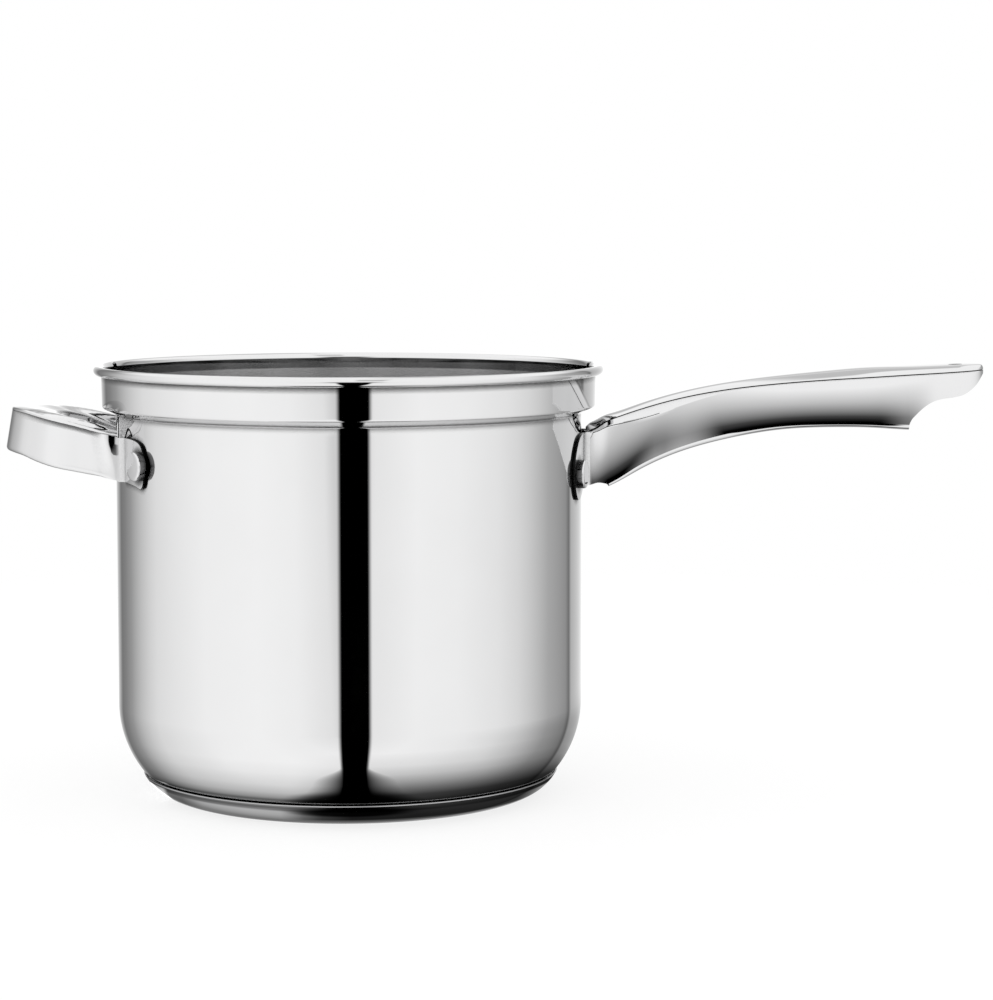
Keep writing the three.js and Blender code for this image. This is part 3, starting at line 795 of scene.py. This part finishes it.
LONG_WIDTH = table_line(LONG_LINES, 1)
LONG_SEAM = table_line(LONG_LINES, 2)
LONG_DEPTH = table_line(LONG_LINES, 3)
LONG_CROWN = table_line(LONG_LINES, 4)


def corner_radius(x):
    return between(CHANNEL_CORNER_START, CHANNEL_CORNER, eased(x, CHANNEL_START, CHANNEL_CORNER_FULL))


def shoulder(x):
    """How wide and deep the bright shoulder under the seam is."""
    start, widest, end = SHOULDER_PLACES
    if x < widest:
        share = max(x - start, 0) / (widest - start)
        return between(SHOULDER_ENDS[0], SHOULDER, math.sin(share * math.pi / 2))
    return between(SHOULDER, SHOULDER_ENDS[1], eased(x, widest, end))


def wall_widening(x, z, half):
    """How far the channel's wall stands out from its seam at a height. half is the seam's distance from
    the handle's middle line."""
    down = LONG_SEAM(x) - z
    deep = LONG_DEPTH(x) - corner_radius(x)
    share = min(max(down / deep, 0), 1)
    size = shoulder(x)
    groove = GROOVE * max(1 - abs(down - size) / GROOVE_HALF, 0)
    groove *= eased(size, *GROOVE_SHOULDER) * eased(x, *GROOVE_FADES)
    root = ROOT_FLARE * ease(share) * max((ROOT_END - x) / (ROOT_END - LONG_START), 0) ** ROOT_BEND
    slant = LONG_FLARE * down + SHOULDER_SLANT * min(down, size)
    return LONG_BULGE * half * (1 - (1 - share) ** 2) + slant + root - groove


def in_shaded_crease(place):
    start, end = CREASE_SHADE_PLACES
    return start < place.x < end and 0 < LONG_SEAM(place.x) - place.z - shoulder(place.x) < GROOVE_HALF


def wall_foot(x):
    """The lower edge of the channel's wall, where its corner, the arch or the scoop begins."""
    if x < ARCH[-1][0]:
        return ARCH_LINE(x)
    if x > CHANNEL_END:
        return SCOOP_LINE(x)
    foot = LONG_SEAM(x) - LONG_DEPTH(x) + corner_radius(x)
    if x < CHANNEL_START:
        return between(ARCH[-1][1], foot, (x - ARCH[-1][0]) / (CHANNEL_START - ARCH[-1][0]))
    return foot


ARCH_LINE = table_line(ARCH, 1)
SCOOP_LINE = table_line(SCOOP, 1)


def nose_plan(before):
    """The plan of the long handle's rounded nose, which starts a little after the place before it."""
    nose = smooth_path([(before, LONG_WIDTH(before)), *LONG_NOSE])
    start = (LONG_NOSE[0][0] - before) / (LONG_TIP - before) * NOSE_START
    return [tuple(nose(share)) for share in np.linspace(start, 1, 20)[1:]]


def add_long_channel():
    rows = [share * SHOULDER_ROWS for share in np.linspace(0, 1, 10)]
    rows += [GROOVE_ROWS[0], *np.linspace(GROOVE_ROWS[1], 1, 15)]
    half_there = LONG_WIDTH(LONG_START)

    def half_at(z):
        return half_there + wall_widening(LONG_START, z, half_there)

    left = ear_stations(LONG_EAR, LONG_EAR_EDGE, LONG_FOLD, half_at, LONG_FOLD_SLOPE, rows)
    places = list(np.linspace(LONG_START + FOLD_CLEAR, CHANNEL_START, 10))
    places += list(np.linspace(CHANNEL_START, CHANNEL_END, 60)[1:])
    places += list(CHANNEL_END + (LONG_NOSE[0][0] - CHANNEL_END) * np.linspace(0, 1, 16)[1:] ** 1.5)
    plan = [(x, LONG_WIDTH(x)) for x in places]
    plan += nose_plan(places[-2])
    plan[-1] = (LONG_TIP, 0.0)
    channel_first = None
    for x, half in plan:
        station = []
        top, foot = LONG_SEAM(x), wall_foot(x)
        for share in rows:
            size = min(shoulder(x) / max(top - foot, 1), 0.5)
            if share <= SHOULDER_ROWS:
                down = share / SHOULDER_ROWS * size
            else:
                down = between(size, 1, (share - SHOULDER_ROWS) / (1 - SHOULDER_ROWS))
            z = between(top, foot, down)
            wide = wall_widening(x, z, half) * min(half / WIDENING_FADES, 1)
            station.append((x, -half - wide, z))
        if channel_first is None and x >= CHANNEL_START - 1e-6:
            channel_first = len(left)
        left.append(station)
    stations = left + mirrored(left[:-1])
    flat, grid = numbered(stations)
    faces = grid_faces(grid)
    floor_grid = []
    for i, (x, _) in enumerate(plan, start=len(left) - len(plan)):
        if i < channel_first or x > CHANNEL_END + 1e-6:
            continue
        y, z = -stations[i][-1][1], stations[i][-1][2]
        radius = corner_radius(x)
        points = [(y - radius + radius * math.cos(a), z - radius * math.sin(a))
                  for a in np.radians(np.linspace(0, 90, 9)[1:])]
        flat_half = points[-1][0]
        across = [(x, -p[0], p[1]) for p in points]
        across += [(x, s * flat_half, points[-1][1]) for s in np.linspace(-1, 1, 9)[1:-1]]
        across += [(x, p[0], p[1]) for p in reversed(points)]
        numbers = list(range(len(flat), len(flat) + len(across)))
        flat += across
        floor_grid.append([grid[i][-1], *numbers, grid[len(grid) - 1 - i][-1]])
    faces += [tuple(reversed(f)) for f in grid_faces(floor_grid)]
    piece = add_piece("long_handle_shell", flat, faces, HANDLE_STEEL,
                      "long_handle_channel", sharp=24)
    agree_normals(piece.data)
    face_outwards(piece, lambda p: Vector((0, p.y, 0)))
    # The groove under the shoulder is painted dark, as shade.
    mark_faces(piece.data, in_shaded_crease)
    make_sheet(piece, SHEET)


def add_long_top():
    """The crowned strip on the channel, with its tongue at the pot and the hang hole near its tip."""
    places = list(np.linspace(TONGUE_END, 120, 26)) + list(np.linspace(120, LONG_NOSE[0][0], 60)[1:])
    plan = []
    for x in places:
        tongue = math.sqrt(max(1 - max(1 - (x - TONGUE_END + TONGUE_LEAD) / TONGUE_LENGTH, 0) ** 2, 0.0))
        plan.append((x, LONG_WIDTH(max(x, LONG_START)) * tongue))
    plan += nose_plan(places[-2])
    rows = []
    for x, half in plan:
        half = max(half, 0.05)
        seam, crown = LONG_SEAM(max(x, LONG_START)), LONG_CROWN(max(x, LONG_START))
        row = []
        for across in np.sin(np.linspace(-1, 1, 25) * math.pi / 2):
            lift = crown * (1 - abs(across) ** between(*CROWN_POWERS, eased(x, *CROWN_FLATTENS)))
            row.append((x, across * half, seam + LONG_TOP_EDGE + lift * min(half / CROWN_FADES, 1)))
        rows.append(row)
    flat, grid = numbered(rows)
    piece = add_piece("long_handle_top", flat, grid_faces(grid), HANDLE_STEEL,
                      "long_handle_top_strip", sharp=60)
    face_outwards(piece, lambda p: Vector((0, 0, 1)))
    make_sheet(piece, TOP_SHEET, TOP_EDGE_ROUND)
    surface = LONG_TOP_EDGE + LONG_CROWN(HANG_HOLE)
    wide = HANG_HOLE_RADIUS + HANG_HOLE_SINK
    profile = [(0, -DRILL_REACH), (HANG_HOLE_RADIUS, -DRILL_REACH)]
    profile += [(HANG_HOLE_RADIUS, surface - HANG_HOLE_SINK_DEPTH), (wide, surface)]
    profile += [(wide, DRILL_REACH), (0, DRILL_REACH)]
    vertices, faces, _ = turned(profile, full_circle(10))
    up = LONG_SEAM(HANG_HOLE)
    mesh = new_mesh("hang_hole", [(x + HANG_HOLE, y, z + up) for x, y, z in vertices], faces)
    # The hole's wall takes the near-black second material, as painted shade.
    mark_faces(mesh, lambda place: True)
    drill = new_object("hang_hole", mesh)
    hole = piece.modifiers.new("hang_hole", "BOOLEAN")
    hole.operation = "DIFFERENCE"
    hole.solver = "EXACT"
    hole.object = drill
    piece.modifiers.move(len(piece.modifiers) - 1, 1)
    bpy.context.view_layer.update()
    finished = bpy.data.meshes.new_from_object(piece.evaluated_get(bpy.context.evaluated_depsgraph_get()))
    piece.modifiers.clear()
    piece.data = finished
    bpy.data.objects.remove(drill)


def helper_line(column):
    """A column of the helper's table as a function of a share from the pot to the middle."""
    plan = smooth_path([row[:2] for row in HELPER_LINES])
    count = 200
    xs = [plan(i / count)[0] for i in range(count + 1)]
    along = table_line(HELPER_LINES, column)
    return lambda share: along(xs[int(round(share * count))])


def helper_outline(inset_x, inset_y):
    """The helper's plan, drawn in by inset_x at its nose and by inset_y at its sides."""
    half = HELPER_LINES[0][1]
    nose = HELPER_LINES[-1][0]
    points = []
    for row in HELPER_LINES:
        x = BODY_RADIUS + (row[0] - BODY_RADIUS) * (nose - inset_x - BODY_RADIUS) / (nose - BODY_RADIUS)
        points.append((x, row[1] * (half - inset_y) / half))
    return points


def there_and_back(points):
    """A path through plan points and on through their mirror images."""
    return smooth_path(points + [(x, -y) for x, y in points[-2::-1]])


def half_turned(rows):
    """Rows of points turned half round the pot, to the helper's side."""
    return [[(-x, -y, z) for x, y, z in row] for row in rows]


def pinch(x, z):
    """How far the band draws in just before its fold, at a distance from the pot's axis and a height."""
    return HELPER_PINCH * eased(x, *PINCH_PLACES) * eased(z, *PINCH_HEIGHTS)


def add_helper_strap():
    rows = list(np.linspace(0, 0.86, 12)) + [0.9, 0.935, 0.96, 0.98, 1.0]
    seam, depth = helper_line(2), helper_line(3)
    start, side = HELPER_LINES[0][:2]

    def half_at(z):
        return side - pinch(start, z)

    left = ear_stations(HELPER_EAR, HELPER_EAR_EDGE, HELPER_FOLD, half_at, HELPER_FOLD_SLOPE, rows)
    plan = there_and_back([row[:2] for row in HELPER_LINES])
    first = len(left)
    for share in np.linspace(0, 0.5, 74)[1:]:
        x, y = plan(share)
        top = seam(share * 2)
        low = top - depth(share * 2)
        station = []
        for r in rows:
            lean = HELPER_LEAN * ease((x - between(*HELPER_LEAN_STARTS, r)) / HELPER_LEAN_LENGTH)
            toward = math.atan2(y, x - BODY_RADIUS) if x > BODY_RADIUS + 1 else math.pi / 2
            inset = lean * (1 - r)
            z = between(top, low, r)
            station.append((x - inset * math.cos(toward), -y + inset * math.sin(toward) + pinch(x, z), z))
        left.append(station)
    for i in range(first, len(left)):
        before, after = left[i - 1][0], left[min(i + 1, len(left) - 1)][0]
        along = np.array([after[0] - before[0], after[1] - before[1]])
        inward = np.array([-along[1], along[0]]) / np.linalg.norm(along)
        share = ease((i - first) / ROLL_STATIONS)
        for k, (x, y, z) in enumerate(left[i]):
            down = (left[i][-1][2] + HELPER_ROLL - z) / HELPER_ROLL
            if down > 0:
                shift = share * HELPER_ROLL * (1 - math.sqrt(max(1 - min(down, ROLL_END) ** 2, 0)))
                left[i][k] = (x + inward[0] * shift, y + inward[1] * shift, z)
    flat, grid = numbered(half_turned(left + mirrored(left[:-1])))
    piece = add_piece("helper_handle_band", flat, grid_faces(grid), HANDLE_STEEL,
                      "helper_handle_strap", sharp=60)
    face_outwards(piece, lambda p: Vector((p.x, p.y, 0)))
    make_sheet(piece, SHEET)


def add_helper_top():
    """The plate on the band: crowned across, with a rolled outer edge and an inner lip folded down."""
    seam, crown = helper_line(2), helper_line(4)
    outer = helper_outline(HELPER_LEAN, 0)
    inner_satin_and_shade = helper_outline(HELPER_LEAN + HELPER_GRIP, HELPER_ARM)
    outer_path, inner_path = there_and_back(outer), there_and_back(inner_satin_and_shade)
    rows = []
    rise = TOP_SHEET * 0.75 + SEAM_GAP
    for share in np.linspace(0, 1, 145):
        along = 2 * min(share, 1 - share)
        a, b = np.array(outer_path(share)), np.array(inner_path(share))
        width = float(np.linalg.norm(b - a))
        inward = (b - a) / width
        hump = crown(along)
        section = [(0, SEAM_GAP), (0, SEAM_GAP + 0.2)]
        section += [(HELPER_EDGE_ROUND * (1 - math.cos(t)), rise * math.sin(t) + SEAM_GAP + 0.2)
                    for t in np.linspace(0.15, math.pi / 2, 6)]
        flat_start, flat_end = HELPER_EDGE_ROUND, width - HELPER_LIP_ROUND
        top = section[-1][1]
        for q in np.linspace(0, 1, 13)[1:]:
            lift = between(top, -HELPER_INNER_DROP, q) + hump * (1 - (2 * q - 1) ** 2)
            section.append((between(flat_start, flat_end, q), lift))
        section += [(flat_end + HELPER_LIP_ROUND * math.sin(t),
                     -HELPER_INNER_DROP - HELPER_LIP_ROUND * (1 - math.cos(t)))
                    for t in np.linspace(0.5, math.pi / 2, 6)]
        section += [(width, -HELPER_INNER_DROP - HELPER_LIP_ROUND - (HELPER_LIP - HELPER_LIP_ROUND) * q)
                    for q in (0.2, 0.6, 1.0)]
        row = []
        for offset, lift in section:
            x, y = a + inward * offset
            least = math.sqrt((BODY_RADIUS + TOP_PLATE_GAP) ** 2 - y ** 2)
            row.append((max(x, least), y, seam(along) + lift))
        rows.append(row)
    flat, grid = numbered(half_turned(rows))
    piece = add_piece("helper_handle_top", flat, grid_faces(grid), HANDLE_STEEL,
                      "helper_handle_top_plate", sharp=60)
    face_outwards(piece, lambda p: Vector((0, 0, 1)))
    make_sheet(piece, TOP_SHEET, TOP_EDGE_ROUND)


# Studio

FLOOR_RADIUS = 900
FLOOR_LEVEL = -0.15  # just under the cap, so that the two never share a plane
FLOOR_RINGS = (60, 90, 120, 180, 260, 400, 600, FLOOR_RADIUS)
FLOOR_FADE = (450, 855)
FLOOR_GLOW = 0.8
FLOOR_PAPER = 0.19

# The dark gap in the tent, in degrees from the camera's side towards +X. Above the level that the pot's
# wall shows, it is narrower and its edges are softer. Heights of a direction run from -1 to 1.
GAP_MIDDLE = 2.0
GAP_HALF = 6.3
GAP_SOFT = 2.4
GAP_HALF_ABOVE = 5.0
GAP_SOFT_ABOVE = 12
GAP_CHANGE = (-0.058, -0.048)

# How bright the tent is on each side of the gap: degrees from the camera's side, and the light there
LEFT_PANEL = (
    (9, 0.7), (13, 0.86), (27, 0.965), (46, 1.0), (75, 0.98), (96, 0.88), (109, 0.8), (116, 0.7),
    (124, 0.56), (136, 0.32), (145, 0.22), (153, 0.17), (158, 0.33), (168, 0.58), (175, 1.0),
)
RIGHT_PANEL = (
    (9, 0.78), (13, 0.89), (33, 0.98), (54, 0.955), (77, 0.865), (90, 0.76), (98, 0.66), (106, 0.545),
    (114, 0.43), (126, 0.345), (133, 0.29), (137.5, 0.16), (141, 0.45), (157, 0.6), (168, 0.76),
    (174, 1.0),
)
BEHIND = (100, 140)  # past these degrees the two sides blend across the middle of the back
BACK_BLEND = 0.35

# How far the tent's front brightens towards the light of its top, by the height of a direction
LIFT = ((-0.01, 0.0), (0.04, 0.06), (0.1, 0.26), (0.2, 0.6), (0.35, 1.0))
LIFT_RANGE = (-0.1, 0.4)
LIFT_BEHIND = (0.35, 0.6)  # the same for the rest of the tent
FRONT = (100, 60)  # degrees from the gap where the front begins
TOP_LIGHT = 0.98
UNDERFOOT = (-0.935, -0.985)  # straight down it grows dark
UNDERFOOT_LIGHT = 0.06
TENT_LEVEL = 1.33

# The tent's seam: a darker strip overhead, a little towards +X
SEAM_HEIGHTS = ((0.45, 0.6), (0.93, 0.88))
SEAM_SIDES = ((0.02, 0.07), (0.26, 0.21))
SEAM_DARK = 0.55

# How much of the light from below the floor gives back: by degrees round the pot from the camera's
# side, and by the distance from the pot's axis on each side
FLOOR_ROUND = (
    (-180, 0.75), (-130, 0.9), (-75, 0.95), (-40, 1.0), (20, 1.0), (44, 0.96), (62, 0.85), (92, 0.7),
    (130, 0.6), (180, 0.75),
)
FLOOR_LEFT = (
    (80, 0.3), (88, 0.3), (90, 0.22), (91, 0.13), (93, 0.36), (97, 0.6), (104, 0.78), (118, 0.93),
    (138, 1.0),
)
FLOOR_RIGHT = (
    (80, 0.05), (88, 0.02), (95, 0.06), (101, 0.22), (108, 0.44), (116, 0.66), (130, 0.86), (165, 1.0),
)
TINT_RANGE = (80, 180)
LEFT_TO_RIGHT = (-20, 6)
BACK_TO_RIGHT = (178, 120)
TINT_FADE = (140, 340)

# What the cap sees of the floor close by, by degrees round the pot. At the cap's left end it is brighter.
FLOOR_NEAR = (
    (-180, 0.4), (-100, 0.5), (-78, 0.8), (-61, 0.45), (-50, 0.75), (-35, 0.62), (-21, 0.56), (-14, 0.2),
    (-9, 0.07), (0, 0.02), (20, 0.03), (34, 0.05), (60, 0.08), (79, 0.4), (180, 0.4),
)
NEAR_EDGE = (89.3, 87.3)
CAP_END = ((-70, -76), (-130, -100))
CAP_END_EDGE = (92, 90)
CAP_END_LIGHT = 2.2
UNDER_CAP = (82, 78)
UNDER_CAP_LIGHT = 0.7

# Half of the dark wedge under the gap, in degrees, by the distance from the pot's axis. Its edge runs
# between two shares of that half, and the outer one draws in with the distance.
FLOOR_WEDGE = ((86, 12), (88, 10.5), (90, 8), (93, 6), (97, 5), (104, 4.3), (125, 3.9), (180, 3.8))
WEDGE_MIDDLE = 1.2
WEDGE_INNER = 0.85
WEDGE_OUTER = (3.0, 1.2)
WEDGE_NARROWS = (108, 128)
WEDGE_SCALE = 100  # a ramp holds levels up to 1


def ramp(tree, value, stops, low, high):
    """A level by a value, from stops of a place between low and high and a level."""
    made = tree.nodes.new("ShaderNodeValToRGB")
    tree.links.new(in_range(tree, value, low, high, smooth=False), made.inputs[0])
    elements = made.color_ramp.elements
    while len(elements) < len(stops):
        elements.new(0.5)
    for element, (place, level) in zip(elements, stops):
        element.position = (place - low) / (high - low)
        element.color = (level, level, level, 1)
    return made.outputs[0]


def azimuth_of(tree, x, y):
    """Degrees round the pot from the camera's side, growing towards +X."""
    angle = maths(tree, "ARCTAN2", x, product(tree, y, -1.0))
    return product(tree, angle, 180 / math.pi)


def light_world():
    """A white tent round the pot. The gap in it, where the camera stands, is dark."""
    world = bpy.data.worlds.new("tent")
    bpy.context.scene.world = world
    world.use_nodes = True
    tree = world.node_tree
    direction = add_node(tree, "ShaderNodeTexCoord").outputs["Generated"]
    x, y, z = parts_of(tree, direction)
    side = maths(tree, "SUBTRACT", azimuth_of(tree, x, y), GAP_MIDDLE)
    away = maths(tree, "ABSOLUTE", side)
    above = in_range(tree, z, *GAP_CHANGE)
    gap_edge = mixed(tree, GAP_HALF, GAP_HALF_ABOVE, above)
    gap_end = mixed(tree, GAP_HALF + GAP_SOFT, GAP_HALF_ABOVE + GAP_SOFT_ABOVE, above)
    gap = in_range(tree, away, gap_edge, gap_end)
    turned_away = product(tree, maths(tree, "ARCCOSINE", product(tree, y, -1.0)), 180 / math.pi)
    left = ramp(tree, turned_away, LEFT_PANEL, 0, 180)
    right = ramp(tree, turned_away, RIGHT_PANEL, 0, 180)
    across_back = in_range(tree, x, -BACK_BLEND, BACK_BLEND)
    on_right = mixed(tree, maths(tree, "GREATER_THAN", side, 0.0), across_back,
                     in_range(tree, away, *BEHIND))
    underfoot = in_range(tree, z, *UNDERFOOT, 1.0, UNDERFOOT_LIGHT)
    panels = product(tree, mixed(tree, left, right, on_right), gap, underfoot)
    lifted = mixed(tree, in_range(tree, z, *LIFT_BEHIND), ramp(tree, z, LIFT, *LIFT_RANGE),
                   in_range(tree, away, *FRONT))
    level = mixed(tree, panels, TOP_LIGHT, lifted)
    seam = product(tree, *(in_range(tree, z, *edge) for edge in SEAM_HEIGHTS),
                   *(in_range(tree, x, *edge) for edge in SEAM_SIDES))
    level = product(tree, level, maths(tree, "MULTIPLY_ADD", seam, -SEAM_DARK, TENT_LEVEL))
    direct = add_node(tree, "ShaderNodeLightPath").outputs["Is Camera Ray"]
    background = tree.nodes["Background"]
    tree.links.new(mixed(tree, level, 1.0, direct), background.inputs["Color"])
    background.inputs["Strength"].default_value = 1.0


def floor_tint(tree, radius, side):
    """How much of the light from below the floor gives back to the steel."""
    left = ramp(tree, radius, FLOOR_LEFT, *TINT_RANGE)
    right = ramp(tree, radius, FLOOR_RIGHT, *TINT_RANGE)
    on_right = product(tree, in_range(tree, side, *LEFT_TO_RIGHT), in_range(tree, side, *BACK_TO_RIGHT))
    level = product(tree, mixed(tree, left, right, on_right), ramp(tree, side, FLOOR_ROUND, -180, 180))
    wedge = [(place, half / WEDGE_SCALE) for place, half in FLOOR_WEDGE]
    half = product(tree, ramp(tree, radius, wedge, *TINT_RANGE), WEDGE_SCALE)
    aside = maths(tree, "ABSOLUTE", maths(tree, "SUBTRACT", side, WEDGE_MIDDLE))
    outer = in_range(tree, radius, *WEDGE_NARROWS, *WEDGE_OUTER)
    beside = in_range(tree, maths(tree, "DIVIDE", aside, half), WEDGE_INNER, outer, smooth=False)
    level = product(tree, level, beside)
    level = mixed(tree, level, ramp(tree, side, FLOOR_NEAR, -180, 180), in_range(tree, radius, *NEAR_EDGE))
    end = product(tree, *(in_range(tree, side, *edge) for edge in CAP_END),
                  in_range(tree, radius, *CAP_END_EDGE))
    level = maths(tree, "MULTIPLY_ADD", end, CAP_END_LIGHT, level)
    level = mixed(tree, level, 1.0, in_range(tree, radius, *TINT_FADE))
    return mixed(tree, level, UNDER_CAP_LIGHT, in_range(tree, radius, *UNDER_CAP))


def floor_paper():
    """White paper that fades out at its edge and is clear from below. The steel sees the tent through it,
    tinted."""
    material = bpy.data.materials.new("white_floor")
    material.use_nodes = True
    tree = material.node_tree
    tree.nodes.clear()
    place = own_place(tree)
    radius = maths(tree, "DIVIDE", length_of(tree, place), MM)
    x, y, _ = parts_of(tree, place)
    side = azimuth_of(tree, x, y)
    light = add_node(tree, "ShaderNodeEmission", {"Color": (1, 1, 1, 1), "Strength": FLOOR_GLOW})
    paper = add_node(tree, "ShaderNodeBsdfDiffuse", {"Color": (FLOOR_PAPER, FLOOR_PAPER, FLOOR_PAPER, 1)})
    shown = add_node(tree, "ShaderNodeAddShader", {0: light.outputs[0], 1: paper.outputs[0]})
    from_below = add_node(tree, "ShaderNodeNewGeometry").outputs["Backfacing"]
    fade = maths(tree, "MAXIMUM", in_range(tree, radius, *FLOOR_FADE), from_below)
    clear = add_node(tree, "ShaderNodeBsdfTransparent")
    seen = add_node(tree, "ShaderNodeMixShader", {0: fade, 1: shown.outputs[0], 2: clear.outputs[0]})
    tinted = add_node(tree, "ShaderNodeBsdfTransparent", {"Color": floor_tint(tree, radius, side)})
    glossy = add_node(tree, "ShaderNodeLightPath").outputs["Is Glossy Ray"]
    both = add_node(tree, "ShaderNodeMixShader", {0: glossy, 1: seen.outputs[0], 2: tinted.outputs[0]})
    add_node(tree, "ShaderNodeOutputMaterial", {"Surface": both.outputs[0]})
    return material


def add_floor():
    angles = full_circle(7.5)
    rings = [[(r * math.cos(a), r * math.sin(a), FLOOR_LEVEL) for a in angles] for r in FLOOR_RINGS]
    vertices = [(0, 0, FLOOR_LEVEL)] + [point for ring in rings for point in ring]
    count = len(angles)
    faces = []
    for i in range(count):
        j = (i + 1) % count
        faces.append((0, 1 + i, 1 + j))
        for ring in range(len(FLOOR_RINGS) - 1):
            low, high = 1 + ring * count, 1 + (ring + 1) * count
            faces.append((low + i, high + i, high + j, low + j))
    mesh = new_mesh("floor", vertices, faces)
    mesh.materials.append(floor_paper())
    floor = new_object("floor", mesh)


def add_camera():
    data = bpy.data.cameras.new("photo_camera")
    data.lens = CAMERA_LENS
    data.sensor_width = CAMERA_SENSOR
    data.clip_end = 20
    camera = new_object("photo_camera", data)
    camera.location = [c * MM for c in CAMERA_PLACE]
    camera.rotation_euler = (math.radians(90 - CAMERA_PITCH), 0, -math.radians(CAMERA_YAW))
    bpy.context.scene.camera = camera


# The whole pot

add_body()
add_cap()
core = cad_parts["base_core"]
core.data.materials.clear()
core.data.materials.append(CORE_METAL)
add_long_channel()
add_long_top()
add_helper_strap()
add_helper_top()
add_rivet("long_handle_rivet_front", -LONG_RIVET[0], LONG_RIVET[1])
add_rivet("long_handle_rivet_back", LONG_RIVET[0], LONG_RIVET[1])
add_rivet("helper_handle_rivet_front", 180 + HELPER_RIVET[0], HELPER_RIVET[1])
add_rivet("helper_handle_rivet_back", 180 - HELPER_RIVET[0], HELPER_RIVET[1])

light_world()
add_floor()
add_camera()
bpy.context.scene.view_settings.view_transform = "Standard"
